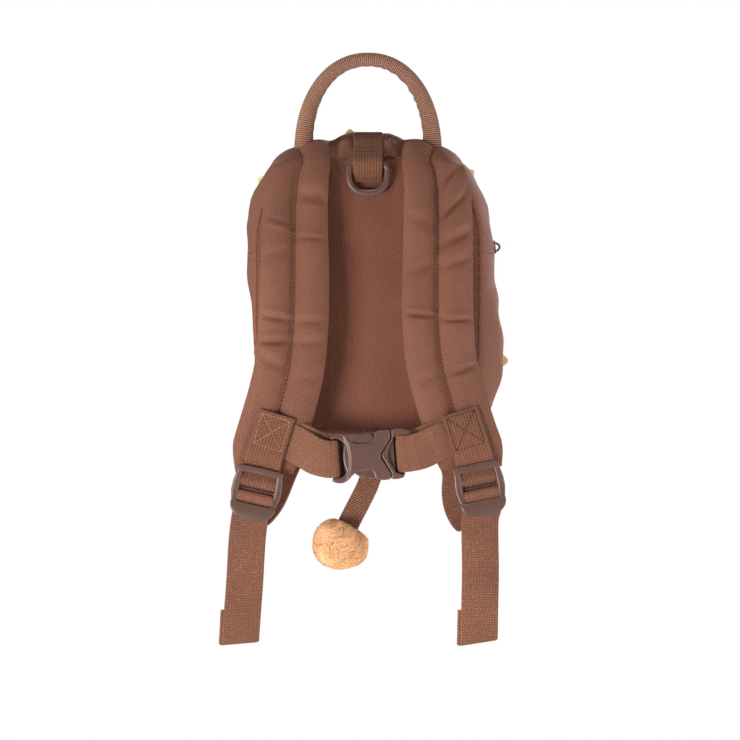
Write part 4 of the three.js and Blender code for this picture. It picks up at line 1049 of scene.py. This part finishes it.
def zip_teeth():
    """Coil of the closed zip: beads across the tape at an even pitch, slanted each way in turn."""
    span = 1 - 2 * ZIP_END
    number = np.arange(int(span * GIRTH / ZIP["pitch"]))
    at, along, out = on_zip(ZIP_END + span * (number + 0.5) / len(number), lift=-1.1, span=0.002)
    slant = np.where(number % 2, ZIP["slant"], -ZIP["slant"])[:, None]
    long, thick, tall = ZIP["bead"]
    axes = np.stack([(DEEP + along * slant) * long, along * thick, out * tall], 1)
    return copies(capsule(), at, axes)


def zip_slider():
    """Slider: a shield-shaped plate with a thick loop arching over it, fused, standing on the zip."""
    shield = curve(
        (-3.4, -4.6), (3.4, -4.6), (4.2, 2.4), (4, 4.8, 1.6, 4.8), (-1.6, 4.8), (-4, 4.8, -4.2, 2.4),
    )
    turn = np.linspace(0, math.pi, 21)
    high = SLIDER["loop_foot"] + SLIDER["loop_high"] * np.sin(turn)
    path = np.stack([0 * turn, high, SLIDER["loop_half"] * np.cos(turn)], -1)
    out = np.stack([0 * turn, np.sin(turn), np.cos(turn)], -1)
    angle = np.linspace(0, 2 * math.pi, 14, endpoint=False)[None, :, None]
    loop = path[:, None] + np.array([SLIDER["loop_wide"], 0, 0]) * np.sin(angle)
    loop = loop + out[:, None] * SLIDER["loop_thick"] * np.cos(angle)
    base = plate(shield, 0, SLIDER["thick"], SLIDER["bevel"])
    points, faces = fused([base, loft(loop)], SKIN["zip"])
    at, along, out = on_zip(outline_near(BAG["half"], ZIP["slider"]), lift=-0.5, span=0.004)
    basis = np.stack([DEEP, out, along])
    if np.linalg.det(basis) < 0:
        faces = [f[::-1] for f in faces]
    return at + points @ basis, faces


def trim_point(x, z, far):
    """Felt point: a tongue that narrows from its root on the seam to a rounded tip, with a rounded edge."""
    reach = np.linspace(TRIM["root"], far, 14)[:, None]
    share = np.clip((far - reach) / (far - TRIM["tip"]), TRIM["least"], 1) ** TRIM["narrow"]
    angle = np.linspace(0, 2 * math.pi, 24, endpoint=False)
    u = outline_near(x, z) + powered(np.cos(angle), TRIM["square"]) * share * TRIM["wide"] / GIRTH
    rings = bag_point(u, TRIM["v"], reach)
    rings[..., 1] += TRIM["thick"] / 2 * (1 + powered(np.sin(angle), TRIM["edge"]))
    return loft(rings)


POLE = unit(np.array(POMPOM["pole"], float))


def pompom_form(spots):
    """Places on the ball moved to its flattened form: pressed down beyond a level towards the tail strap."""
    press = np.maximum(0, spots @ POLE - POMPOM["flat"]) * (1 - POMPOM["keep"])
    return np.array(POMPOM["at"]) + spots - press[..., None] * POLE


def ball_size(out):
    """Share of the ball's radii along each way out: the head's, with lumps as products of slow sines."""
    x, y, z = np.moveaxis(out, -1, 0)
    broad = np.sin(4.1 * x + 1.3) * np.sin(4.6 * z + 0.4)
    finer = 0.6 * np.sin(5.7 * y + 0.8) * np.sin(6.3 * x - 3.1 * z)
    return POMPOM["head"] + POMPOM["lump"] * (broad + finer)


def pompom_head():
    """Head under the pile: an ellipsoid a little smaller than the ball, flattened on its strap side."""
    turn = np.linspace(0.05, math.pi - 0.05, 36)[:, None]
    round_ = np.linspace(0, 2 * math.pi, 56, endpoint=False)[None, :]
    level = np.cos(turn) + 0 * round_
    out = np.stack([np.sin(turn) * np.cos(round_), np.sin(turn) * np.sin(round_), level], -1)
    return loft(pompom_form(out * np.array(POMPOM["radii"]) * ball_size(out)[..., None]))


def spiral(count):
    """Ways out spread evenly over a ball along a golden spiral."""
    k = np.arange(count) + 0.5
    polar = np.arccos(1 - 2 * k / count)
    turn = k * math.pi * (3 - math.sqrt(5))
    return np.stack([np.sin(polar) * np.cos(turn), np.sin(polar) * np.sin(turn), np.cos(polar)], -1)


def combed(way):
    """Lie of the pile at each way out: away from the tail strap, swirled by slow sines."""
    swirl = np.cross(way, POLE)
    x, z = way[:, :1], way[:, 2:]
    turn = 0.3 + 0.9 * np.sin(5 * z + 4 * x) + 0.5 * np.sin(9 * x - 7 * z)
    return unit(np.cross(way, swirl) + swirl * turn + 0.02)


def pompom_pile():
    """Pile: tapered strands on a spiral, lying flat, combed away from the tail strap, tips drawn into locks.

    A strand rises by a parabola from its root and bends down again with the ball.
    """
    rng = np.random.default_rng(SEED)
    out = spiral(POMPOM["strands"])
    n, rows, sides = len(out), STRAND["rows"], STRAND["sides"]
    locks = spiral(POMPOM["locks"])
    nearest = np.argmax(out @ locks.T, 1)
    lean = unit(less_along(combed(out) + rng.normal(0, STRAND["stray"], (n, 3)), out))
    radii = np.array(POMPOM["radii"])
    root = out * radii * (ball_size(out) - 0.01)[:, None]
    long = (STRAND["long"] + rng.uniform(-STRAND["vary"], STRAND["vary"], n))[:, None, None]
    gather = locks * radii * POMPOM["head"] + combed(locks) * STRAND["long"]
    pull = less_along(gather[nearest] - (root + lean * long[:, 0]), out)
    t = np.linspace(0, 1, rows)[None, :, None]
    rise = STRAND["rise"] * t * (STRAND["crest"] - t)
    rise = rise + STRAND["loose"] * rng.uniform(0, 1, (n, 1, 1)) * t
    rise = rise - np.square(long * t) / (STRAND["bend"] * radii[0])
    spine = root[:, None] + lean[:, None] * long * t + out[:, None] * rise
    spine = spine + STRAND["draw"] * pull[:, None] * t**2
    side = unit(np.cross(out, lean))
    angle = math.pi / 2 + np.linspace(0, 2 * math.pi, sides, endpoint=False)[:, None]
    taper = 1 - STRAND["taper"] * t ** STRAND["taper_power"]
    wide = STRAND["wide"] * taper * rng.uniform(*STRAND["stout"], (n, 1, 1))
    spoke = side[:, None] * np.cos(angle) + out[:, None] * STRAND["flat"] * np.sin(angle)
    points = pompom_form(spine[:, :, None] + wide[..., None] * spoke[:, None])
    each = rows * sides
    start = each * np.arange(n)[:, None, None]
    quads = (start + ring_quads(rows, sides)).reshape(-1, 4)
    ends = (start + np.array([[each - 3, each - 1, each - 2], [0, 1, 2]])).reshape(-1, 3)
    return points.reshape(-1, 3), quads.tolist() + ends.tolist()


# Materials
class Net:
    """A node tree that is written as formulas: each call adds a node and returns its output."""

    def __init__(self, tree):
        """Take the tree to write in."""
        self.tree = tree

    def give(self, place, value):
        """Link an output to an input, or write a plain value there."""
        if isinstance(value, bpy.types.NodeSocket):
            self.tree.links.new(value, place)
        else:
            place.default_value = value

    def fill(self, node, inputs):
        """Give several inputs of a node by name."""
        for name, value in inputs.items():
            self.give(node.inputs[name], value)
        return node

    def add(self, kind, inputs=(), **settings):
        """A new node with its settings written and its inputs given."""
        return self.fill(set_all(self.tree.nodes.new("ShaderNode" + kind), **settings), dict(inputs))

    def math(self, operation, *values):
        """One arithmetic node on the values in turn."""
        node = self.add("Math", operation=operation)
        for place, value in zip(node.inputs, values):
            self.give(place, value)
        return node.outputs[0]

    def mix(self, share, a, b):
        """A colour between a and b."""
        node = self.add("Mix", data_type="RGBA")
        for place, value in zip((node.inputs[0], node.inputs[6], node.inputs[7]), (share, a, b)):
            self.give(place, value)
        return node.outputs[2]

    def clamp(self, value):
        """A value kept between 0 and 1."""
        return self.add("Clamp", {"Value": value}).outputs[0]

    def wave(self, place, pitch):
        """A sine of the place with a pitch, brought between 0 and 1."""
        turns = self.math("MULTIPLY", self.math("DIVIDE", place, pitch), 2 * math.pi)
        return self.math("MULTIPLY_ADD", self.math("SINE", turns), 0.5, 0.5)

    def bump(self, strength, distance, height):
        """A normal that leans with a height."""
        return self.add("Bump", {"Strength": strength, "Distance": distance, "Height": height}).outputs[0]


def node_group(name, numbers, results):
    """A node group of a place and some numbers, as its tree, its net, what it is given and what it gives."""
    group = bpy.data.node_groups.new(name, "ShaderNodeTree")
    group.interface.new_socket(name="Place", in_out="INPUT", socket_type="NodeSocketVector")
    for key, value in numbers.items():
        made = group.interface.new_socket(name=key, in_out="INPUT", socket_type="NodeSocketFloat")
        made.default_value = value
    for key in results:
        group.interface.new_socket(name=key, in_out="OUTPUT", socket_type="NodeSocketFloat")
    given = group.nodes.new("NodeGroupInput").outputs
    return group, Net(group), given, group.nodes.new("NodeGroupOutput").inputs


def weave_group():
    """Woven relief: slanted wales and cross threads as sines of the place on the cloth in millimetres."""
    numbers = {"Pitch": 1.2, "Slant": 1.0, "Cross pitch": 0.9, "Cross share": 0.4}
    group, net, given, made = node_group("woven_relief", numbers, ["Height"])
    parts = net.add("SeparateXYZ", {"Vector": given["Place"]}).outputs
    wale = net.wave(net.math("MULTIPLY_ADD", parts["Y"], given["Slant"], parts["X"]), given["Pitch"])
    thread = net.wave(parts["Y"], given["Cross pitch"])
    kept = net.math("MULTIPLY", wale, net.math("SUBTRACT", 1.0, given["Cross share"]))
    net.give(made["Height"], net.math("MULTIPLY_ADD", thread, given["Cross share"], kept))
    return group


def cord_group():
    """Webbing relief: cords as a rectified sine across, with floats along each, half a float apart."""
    numbers = {"Pitch": 2.3, "Cross pitch": 2.2, "Cross share": 0.5}
    group, net, given, made = node_group("corded_relief", numbers, ["Height"])
    parts = net.add("SeparateXYZ", {"Vector": given["Place"]}).outputs
    turns = net.math("DIVIDE", parts["X"], given["Pitch"])
    cord = net.math("ABSOLUTE", net.math("SINE", net.math("MULTIPLY", turns, math.pi)))
    half = net.math("MULTIPLY", net.math("FLOOR", turns), net.math("MULTIPLY", given["Cross pitch"], 0.5))
    float_ = net.wave(net.math("ADD", parts["Y"], half), given["Cross pitch"])
    low = net.math("SUBTRACT", 1.0, given["Cross share"])
    high = net.math("MULTIPLY_ADD", float_, given["Cross share"], low)
    net.give(made["Height"], net.math("MULTIPLY", cord, high))
    return group


def wear_group():
    """Uneven dye and rubbing: slow noise over the piece as a mask, and fine noise as specks."""
    group, net, given, made = node_group("uneven_dye", {"Slow": 18.0, "Fine": 900.0}, ["Mask", "Speck"])
    for result, scale, detail, rough in (("Mask", "Slow", 3.0, 0.55), ("Speck", "Fine", 2.0, 0.6)):
        inputs = {"Vector": given["Place"], "Scale": given[scale], "Detail": detail, "Roughness": rough}
        net.give(made[result], net.add("TexNoise", inputs).outputs[0])
    return group


WEAVE = weave_group()
CORDS = cord_group()
WEAR = wear_group()


CLOTH_LOOK = {
    "mask": 0.5, "level": 0.25, "fleck_mask": 0.4, "fleck_from": 0.36, "fleck_gain": 4.0, "bump": 0.8,
    "crown_rough": -0.12,
}
PLASTIC_LOOK = {
    "slow": 60.0, "fine": 1600.0, "mask": 0.8, "level": 0.1, "bump": 0.25, "depth": 0.00012,
    "speck_rough": 0.2, "rough": 0.22,
}
PILE_LOOK = {"fine": 1400.0, "speck": 0.6, "level": -0.3, "bump": 0.4, "depth": 0.0003}


def new_material(name):
    """A material with an empty tree, its net, its shader and the piece's own places."""
    material = bpy.data.materials.new(name)
    material.use_nodes = True
    tree = material.node_tree
    tree.nodes.clear()
    net = Net(tree)
    shader = net.add("BsdfPrincipled")
    net.add("OutputMaterial", {"Surface": shader.outputs[0]})
    return material, net, shader, net.add("TexCoord").outputs


def cloth_material(
    name, dark, light, relief, depth=0.0003, painted_weave_shade=0.45, fleck=None, grain=0.7, rough=0.86,
):
    """Woven cloth: relief paints highlight on the crowns and shade in the hollows of the weave, and drives
    bump and roughness; noise shifts the dye.
    """
    look = CLOTH_LOOK
    material, net, shader, where = new_material(name)
    tree = WEAVE if "Slant" in relief else CORDS
    height = net.add("Group", {**relief, "Place": where["UV"]}, node_tree=tree).outputs["Height"]
    wear = net.add("Group", {"Place": where["Object"]}, node_tree=WEAR).outputs
    speck = net.math("MULTIPLY_ADD", wear["Speck"], grain, -grain / 2)
    dye = net.math("MULTIPLY_ADD", wear["Mask"], look["mask"], speck)
    level = net.math("ADD", dye, look["level"])
    # painted highlight on the weave's crowns and painted shade in its hollows, laid over the noisy dye
    tone = net.math("MULTIPLY_ADD", net.math("SUBTRACT", height, 0.5), painted_weave_shade, level)
    colour = net.mix(net.clamp(tone), (*dark, 1), (*light, 1))
    if fleck:
        patchy = net.math("MULTIPLY", wear["Speck"], net.math("ADD", wear["Mask"], look["fleck_mask"]))
        above = net.math("SUBTRACT", net.math("MULTIPLY", height, patchy), look["fleck_from"])
        crown = net.math("MULTIPLY", above, look["fleck_gain"])
        colour = net.mix(net.clamp(crown), colour, (*fleck, 1))
    bumps = net.math("MULTIPLY_ADD", wear["Speck"], grain / 2, height)
    net.fill(shader, {
        "Base Color": colour, "Normal": net.bump(look["bump"], depth, bumps),
        "Roughness": net.math("MULTIPLY_ADD", height, look["crown_rough"], rough),
        "Sheen Weight": 0.06, "Sheen Roughness": 0.45, "Specular IOR Level": 0.25,
    })
    return material


def plastic_material(name, dark, light):
    """Satin moulding: fine grain in bump and roughness, with a slow change of tone."""
    look = PLASTIC_LOOK
    material, net, shader, where = new_material(name)
    inputs = {"Place": where["Object"], "Slow": look["slow"], "Fine": look["fine"]}
    wear = net.add("Group", inputs, node_tree=WEAR).outputs
    tone = net.math("MULTIPLY_ADD", wear["Mask"], look["mask"], look["level"])
    net.fill(shader, {
        "Base Color": net.mix(tone, (*dark, 1), (*light, 1)),
        "Normal": net.bump(look["bump"], look["depth"], wear["Speck"]),
        "Roughness": net.math("MULTIPLY_ADD", wear["Speck"], look["speck_rough"], look["rough"]),
    })
    return material


def pile_material(name, dark, light, slow, sheen=0.3):
    """Pile, felt or thread: tone by noise over the piece, matte, with some sheen."""
    look = PILE_LOOK
    material, net, shader, where = new_material(name)
    inputs = {"Place": where["Object"], "Slow": slow, "Fine": look["fine"]}
    wear = net.add("Group", inputs, node_tree=WEAR).outputs
    speck = net.math("MULTIPLY_ADD", wear["Speck"], look["speck"], look["level"])
    net.fill(shader, {
        "Base Color": net.mix(net.math("ADD", wear["Mask"], speck), (*dark, 1), (*light, 1)),
        "Normal": net.bump(look["bump"], look["depth"], wear["Speck"]),
        "Roughness": 0.85, "Sheen Weight": sheen, "Sheen Roughness": 0.5,
    })
    return material


TWILL_RELIEF = {"Pitch": 1.47, "Slant": 0.58, "Cross pitch": 0.62, "Cross share": 0.2}
RIBBED_RELIEF = {"Pitch": 1.56, "Slant": -0.19, "Cross pitch": 0.8, "Cross share": 0.2}
CORD_RELIEF = {"Pitch": 1.6, "Slant": 0.7, "Cross pitch": 1.5, "Cross share": 0.4}
OPEN_RELIEF = {"Pitch": 1.81, "Slant": 0.0, "Cross pitch": 1.7, "Cross share": 0.55}
CROSS_RELIEF = {"Pitch": 1.1, "Slant": 0.0, "Cross pitch": RIB_PITCH, "Cross share": 0.96}
LOOP_RELIEF = {"Pitch": 2.05, "Cross pitch": 2.3, "Cross share": 0.6}
TAPE_RELIEF = {"Pitch": 0.7, "Slant": 0.0, "Cross pitch": 0.7, "Cross share": 0.5}
TWILL = cloth_material(
    "twill", (0.11, 0.039, 0.023), (0.335, 0.134, 0.08), TWILL_RELIEF, painted_weave_shade=0.58, rough=0.74)
RIBBED = cloth_material("ribbed_cloth", (0.11, 0.038, 0.021), (0.355, 0.132, 0.077), RIBBED_RELIEF)
WEBBING = cloth_material("webbing", (0.11, 0.04, 0.022), (0.395, 0.166, 0.1), CORD_RELIEF, painted_weave_shade=0.42)
OPEN_WEBBING = cloth_material(
    "open_webbing", (0.1, 0.036, 0.02), (0.36, 0.15, 0.09), OPEN_RELIEF,
    painted_weave_shade=0.34, fleck=(0.42, 0.2, 0.1))
CROSS_WEBBING = cloth_material(
    "cross_webbing", (0.06, 0.022, 0.012), (0.4, 0.18, 0.11), CROSS_RELIEF, painted_weave_shade=0.9)
LOOP_WEBBING = cloth_material(
    "loop_webbing", (0.07, 0.025, 0.013), (0.34, 0.14, 0.078), LOOP_RELIEF, painted_weave_shade=0.55)
# The handle's webbing: the cross webbing's colours made lighter, partly its own tone and partly painted
# light from above
GRIP_WITH_PAINTED_LIGHT = cloth_material(
    "grip_webbing_painted_lighter", (0.1, 0.042, 0.025), (0.46, 0.235, 0.155), CROSS_RELIEF, 0.00016,
    painted_weave_shade=0.75, grain=0.1)
ZIP_TAPE = cloth_material("zip_tape", (0.06, 0.024, 0.014), (0.18, 0.075, 0.046), TAPE_RELIEF, 0.0002)
THREAD_DARK = pile_material("thread_dark", (0.032, 0.011, 0.006), (0.08, 0.028, 0.015), 300.0, 0.02)
THREAD_LIGHT = pile_material("thread_light", (0.28, 0.12, 0.05), (0.5, 0.26, 0.12), 300.0)
PLASTIC = plastic_material("moulded_plastic", (0.105, 0.052, 0.038), (0.17, 0.092, 0.072))
PLUSH = pile_material("plush", (0.84, 0.42, 0.185), (0.94, 0.58, 0.315), 70.0, 0.05)
FELT = pile_material("gold_felt", (0.86, 0.56, 0.2), (0.98, 0.78, 0.42), 120.0)


# Pieces set down
def piece(name, made, material, nodes=(), body=BODY):
    """A finished piece: its mesh and material, the body it moves with and the solids it stands for."""
    mesh = mesh_of(name, *made)
    mesh.materials.append(material)
    obj = object_of(name, mesh)
    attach(obj, body)
    if nodes:
        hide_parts(*nodes)
    return obj


def thread(name, rows, material=THREAD_DARK, slot="webbing"):
    """Stitches of several rows as one piece."""
    at, axes = (np.concatenate(part) for part in zip(*rows))
    return piece(name, copies(capsule(), at, axes), material)


def bag():
    """Panels, walls, zip and felt points."""
    back = piece("bag_back_panel", panel("back"), RIBBED, ["back_panel"])
    front = piece("bag_front_panel", panel("front"), TWILL, ["front_panel"])
    wall = gusset(-ZIP_END, ZIP_END, 0, 1, GUSSET_GRIDS["low"])
    low = piece("bag_gusset", wall, TWILL, ["gusset_lower"])
    gap_u, gap_v = ZIP["end_gap"] / GIRTH, GAP / BAG["depth"]
    ends = ZIP_END + gap_u, 1 - ZIP_END - gap_u
    strips = {"back": (0, ZIP_FROM, (SEAM_TURN, ZIP_TURN)), "front": (ZIP_TO, 1, (ZIP_TURN, SEAM_TURN))}
    for name, (v0, v1, turn_in) in strips.items():
        shape = gusset(*ends, v0, v1, GUSSET_GRIDS["strip"], turn_in)
        piece(f"bag_{name}_strip", shape, TWILL, [f"gusset_{name}_strip"])
    tape_v = ZIP_FROM - gap_v, ZIP_TO + gap_v
    tape = gusset(*ends, *tape_v, GUSSET_GRIDS["tape"], (ZIP_TURN, ZIP_TURN), ZIP["tape_sunk"])
    piece("zip_tape_cloth", tape, ZIP_TAPE, ["zip_tape"])
    piece("zip_coil", zip_teeth(), PLASTIC)
    piece("zip_puller", zip_slider(), PLASTIC, ["zip_slider"])
    for name, place in TRIM_POINTS.items():
        piece(f"{name}_felt", trim_point(*place), FELT, [name])
    for side in PANELS:
        thread(f"seam_stitching_{side}", [stitches(*rim_path(side, RIM["sewn"]), *STITCH["seam"])])


def strap_pad(side):
    """A padded shoulder strap, swollen and then creased, with the stitches along its channel."""
    rings, w = strap(side)
    middle = len(w) // 2
    ring_w = np.abs(np.concatenate([w, w[-2:0:-1]]))
    pinned = np.zeros(rings.shape[:2], bool)
    pinned[:, (ring_w < PAD["channel"]) | (ring_w > PAD["edge"])] = True
    pinned[: PAD["held_rows"]] = True
    pinned[-PAD["held_rows"] :] = True
    swollen = pad_out(rings, pinned.ravel(), PAD["swell"])
    _, at, _, face, _ = strap_stations(side)[0]
    sunk = strap_creases(side, w[None, :], at[:, 2:3])
    swollen[:, : len(w)] -= face[:, None] * sunk[..., None]
    uv = cloth_uv(rings, middle, False, walked(at)) * [1 if side == "right" else -1, 1]
    pad = piece(f"strap_pad_{side}", loft(swollen, uv=uv), TWILL, [f"shoulder_strap_{side}"])
    channel = swollen[:, middle]
    over = swollen[:, middle + 2] - swollen[:, middle - 2]
    out = to_harness(unit(np.cross(np.gradient(channel, axis=0), over)))
    sewn = slice(*PAD["sewn"])
    thread(f"strap_stitching_{side}", [stitches(channel[sewn], out[sewn], *STITCH["strap"], 0.1)])


def at_buckle(s):
    """Rows of a chest web round its bar in the buckle, on the left (-1) or right (1)."""
    tilt = BUCKLE["tilt"]
    base = np.array([BUCKLE["x"], BUCKLE["y"], BUCKLE["z"]], float)
    return [(*(base + across(tilt) * s * x + [0, y, 0]), 90 + tilt) for x, y in CHEST_AT_BAR]


def hem_rows(side):
    """Rows of a tail's end turned under: half round a small fold, then back up behind the flat part."""
    above, end = (np.array(r, float) for r in TAILS[side][-2:])
    up = unit((above - end)[:3])
    turn = np.linspace(0, math.pi, 7)[:, None]
    fold = end[:3] + DEEP * HEM["lift"] / 2 * (1 - np.cos(turn)) - up * HEM["lift"] / 2 * np.sin(turn)
    rest = fold[-1] + up * np.array([[4.0], [12.0], [HEM["long"]]])
    return [(*spot, end[3]) for spot in np.concatenate([fold, rest])]


def adjuster(side):
    """Adjuster webbing and its hem, with the end drawn to a slant and the hem moved aside behind it."""
    rows = SLACK[side] + in_lock(LOCKS[side], WEB_IN_LOCK) + TAILS[side]
    flat = band(rows, WEB["wide"], step=1.15, **ADJUSTER)
    hem = band(hem_rows(side), WEB["wide"], step=0.45, **ADJUSTER)
    points, faces, uv = joined([flat, hem])
    x, y, z = points.T
    end_x, end_y, end_z, _ = TAILS[side][-1]
    near = np.clip(1 - (z - end_z) / HEM["reach"], 0, 1) * (y < HEM["front"])
    behind = np.clip((y - end_y) / HEM["lift"], 0, 1) * (z < end_z + HEM["long"] + HEM["clear"])
    points = np.stack([x - HEM["shift"] * behind, y, z + HEM["slope"] * (x - end_x) * near], -1)
    return points, faces, uv


def tab_stitching(side):
    """Box with a cross sewn through a tab: four sides and two diagonals on the tab's face."""
    _, at, way, face, _ = stations(columns(ROUTE_COLUMNS, TABS[side]), 0.5)
    far = walked(at)
    half = WEB["tab"] / 2 - TAB_BOX["inset"]
    low, high = TAB_BOX["low"], far[-1] - TAB_BOX["high"]
    corners = np.array([(-half, low), (half, low), (half, high), (-half, high)])
    t = np.linspace(0, 1, 60)[:, None]
    rows = []
    for a, b in ((0, 1), (1, 2), (2, 3), (3, 0), (0, 2), (1, 3)):
        x, s = (corners[a] + (corners[b] - corners[a]) * t).T
        path = sampled(s, far, at) + sampled(s, far, way) * x[:, None]
        out = to_harness(sampled(s, far, face))
        rows.append(stitches(path, out, *STITCH["tab"], WEB["thick"] / 2))
    thread(f"tab_stitching_{side}", rows, THREAD_LIGHT if side == "left" else THREAD_DARK)


def rows_across(rows, wide, axis, places, sewn):
    """Stitch rows straight across a web, each where the web's middle passes a place on one axis."""
    _, at, way, face, _ = stations(columns(ROUTE_COLUMNS, rows), 0.5)
    order = np.argsort(at[:, axis])
    last = wide / 2 - STITCH_INSET
    reach = np.linspace(-last, last, 40)[:, None]
    made = []
    for place in places:
        spot, side, out = (sampled(place, at[order, axis], a[order]) for a in (at, way, face))
        path = spot + side * reach
        out = np.broadcast_to(to_harness(out), path.shape)
        made.append(stitches(path, out, *sewn, WEB["thick"] / 2))
    return made


def harness(side):
    """One side's padded strap, tab, lock, adjuster webbing, chest webbing and their stitching."""
    strap_pad(side)
    tab = band(TABS[side] + in_lock(LOCKS[side], TAB_IN_LOCK), WEB["tab"])
    piece(f"tab_web_{side}", tab, LOOP_WEBBING, [f"strap_tab_{side}"])
    piece(f"adjuster_strap_{side}", adjuster(side), OPEN_WEBBING, [f"adjuster_web_{side}"])
    piece(f"lock_{side}", ladder_lock(side), PLASTIC, [f"ladder_lock_{side}"])
    chest_rows = CHEST[side] + at_buckle(-1 if side == "left" else 1) + CHEST_BEHIND[side]
    chest = band(chest_rows, WEB["wide"], cord=0.07)
    piece(f"chest_strap_{side}", chest, WEBBING, [f"chest_web_{side}"])
    tab_stitching(side)


def fittings():
    """Buckle halves, handle, ring and its loop, tail webbing and pompom."""
    piece("buckle_left_half", buckle_socket(), PLASTIC, ["buckle_socket"])
    piece("buckle_right_half", buckle_plug(), PLASTIC, ["buckle_plug"])
    # the handle's material carries painted light from above in its colour
    grip = piece("handle_grip", handle_tube(), GRIP_WITH_PAINTED_LIGHT, ["grab_handle"])
    piece("ring_loop_web", band(RING_LOOP, WEB["loop"], ribs=10), LOOP_WEBBING, ["ring_loop"])
    sewn_loop = rows_across(RING_LOOP, WEB["loop"], 2, LOOP_ROWS, STITCH["loop"])
    thread("ring_loop_stitching", sewn_loop)
    sewn = CHEST["right"] + at_buckle(1)[:2]
    bars = rows_across(sewn, WEB["wide"], 0, CHEST_ROWS, STITCH["chest"])
    thread("chest_stitching", bars, THREAD_LIGHT)
    piece("ring_wire", ring_wire(), PLASTIC, ["d_ring"], RING_BODY)
    tail = band(TAIL, WEB["tail"], step=0.3, ribs=0, cross=RIB_PITCH)
    piece("tail_strap", tail, CROSS_WEBBING, ["tail_web"])
    ball = piece("pompom_head", pompom_head(), PLUSH, ["tail_pompom"])
    piece("pompom_pile", pompom_pile(), PLUSH)


# Stage
AMBIENT = 0.05
FLOOR = {"z": -0.9, "radii": (0.02, 2.4), "rows": 12, "columns": 96, "glow": 0.8}
AIM = (0, 0, -0.22)
CAMERA = {"lens": 113.6, "sensor": 36, "at": (0.0014, -1.63, -0.2122)}
LIGHTS = {
    "key": ((-1.05, -1.25, -0.68), 0.7, 28.5),
    "fill": ((1.1, -1.3, -0.45), 0.7, 3.6),
    "left": ((-1.5, -0.2, -0.4), 0.9, 9.5),
    "right": ((1.5, -0.2, -0.4), 0.9, 17),
    "top": ((-0.1, -0.22, 0.9), 0.4, 4.6),
    "rear": ((0.4, 1.9, 0.2), 1.0, 24),
}


def camera():
    """Long lens straight in front of the harness, level with the middle of the picture."""
    data = set_all(bpy.data.cameras.new("camera"), lens=CAMERA["lens"], sensor_width=CAMERA["sensor"])
    obj = object_of("camera", data)
    set_all(obj, location=CAMERA["at"], rotation_euler=(math.pi / 2, 0, 0))
    bpy.context.scene.camera = obj


def lights():
    """Soft square lights that face the middle of the bag: each has a place, a size and a power."""
    for name, (at, size, power) in LIGHTS.items():
        data = set_all(bpy.data.lights.new(name, "AREA"), energy=power, size=size)
        way = Vector(AIM) - Vector(at)
        set_all(object_of(name, data), location=at, rotation_euler=way.to_track_quat("-Z", "Y").to_euler())


def floor():
    """A pale round floor well below the bag: rings of points at even radii, and one face in the middle."""
    rows, cols = FLOOR["rows"], FLOOR["columns"]
    turn = np.linspace(0, 2 * math.pi, cols, endpoint=False)
    radius = np.linspace(*FLOOR["radii"], rows)[:, None]
    disc = np.stack([radius * np.cos(turn), radius * np.sin(turn), FLOOR["z"] + 0 * radius * turn], -1)
    faces = ring_quads(rows, cols).tolist() + [list(range(cols))]
    mesh = mesh_of("floor", disc.reshape(-1, 3), faces, scale=1.0)
    material, net, shader, where = new_material("pale_floor")
    noise = net.add("TexNoise", {"Vector": where["Object"], "Scale": 3.0}).outputs[0]
    seen = net.add("LightPath").outputs["Is Camera Ray"]
    net.fill(shader, {
        "Base Color": net.mix(noise, (0.93, 0.93, 0.93, 1), (0.96, 0.96, 0.96, 1)),
        "Roughness": 0.9,
        "Emission Color": (0.93, 0.93, 0.93, 1),
        "Emission Strength": net.math("MULTIPLY", seen, FLOOR["glow"]),
    })
    mesh.materials.append(material)
    object_of("floor", mesh)


def surroundings():
    """White surroundings to the camera, which give the bag only a little light."""
    world = bpy.data.worlds.new("surroundings")
    bpy.context.scene.world = world
    world.use_nodes = True
    net = Net(world.node_tree)
    seen = net.add("LightPath").outputs["Is Camera Ray"]
    strength = net.math("MULTIPLY_ADD", seen, 1 - AMBIENT, AMBIENT)
    net.fill(world.node_tree.nodes["Background"], {"Color": (1, 1, 1, 1), "Strength": strength})
    bpy.context.scene.view_settings.view_transform = "Standard"


camera()
floor()
surroundings()
lights()
bag()
harness("left")
harness("right")
fittings()
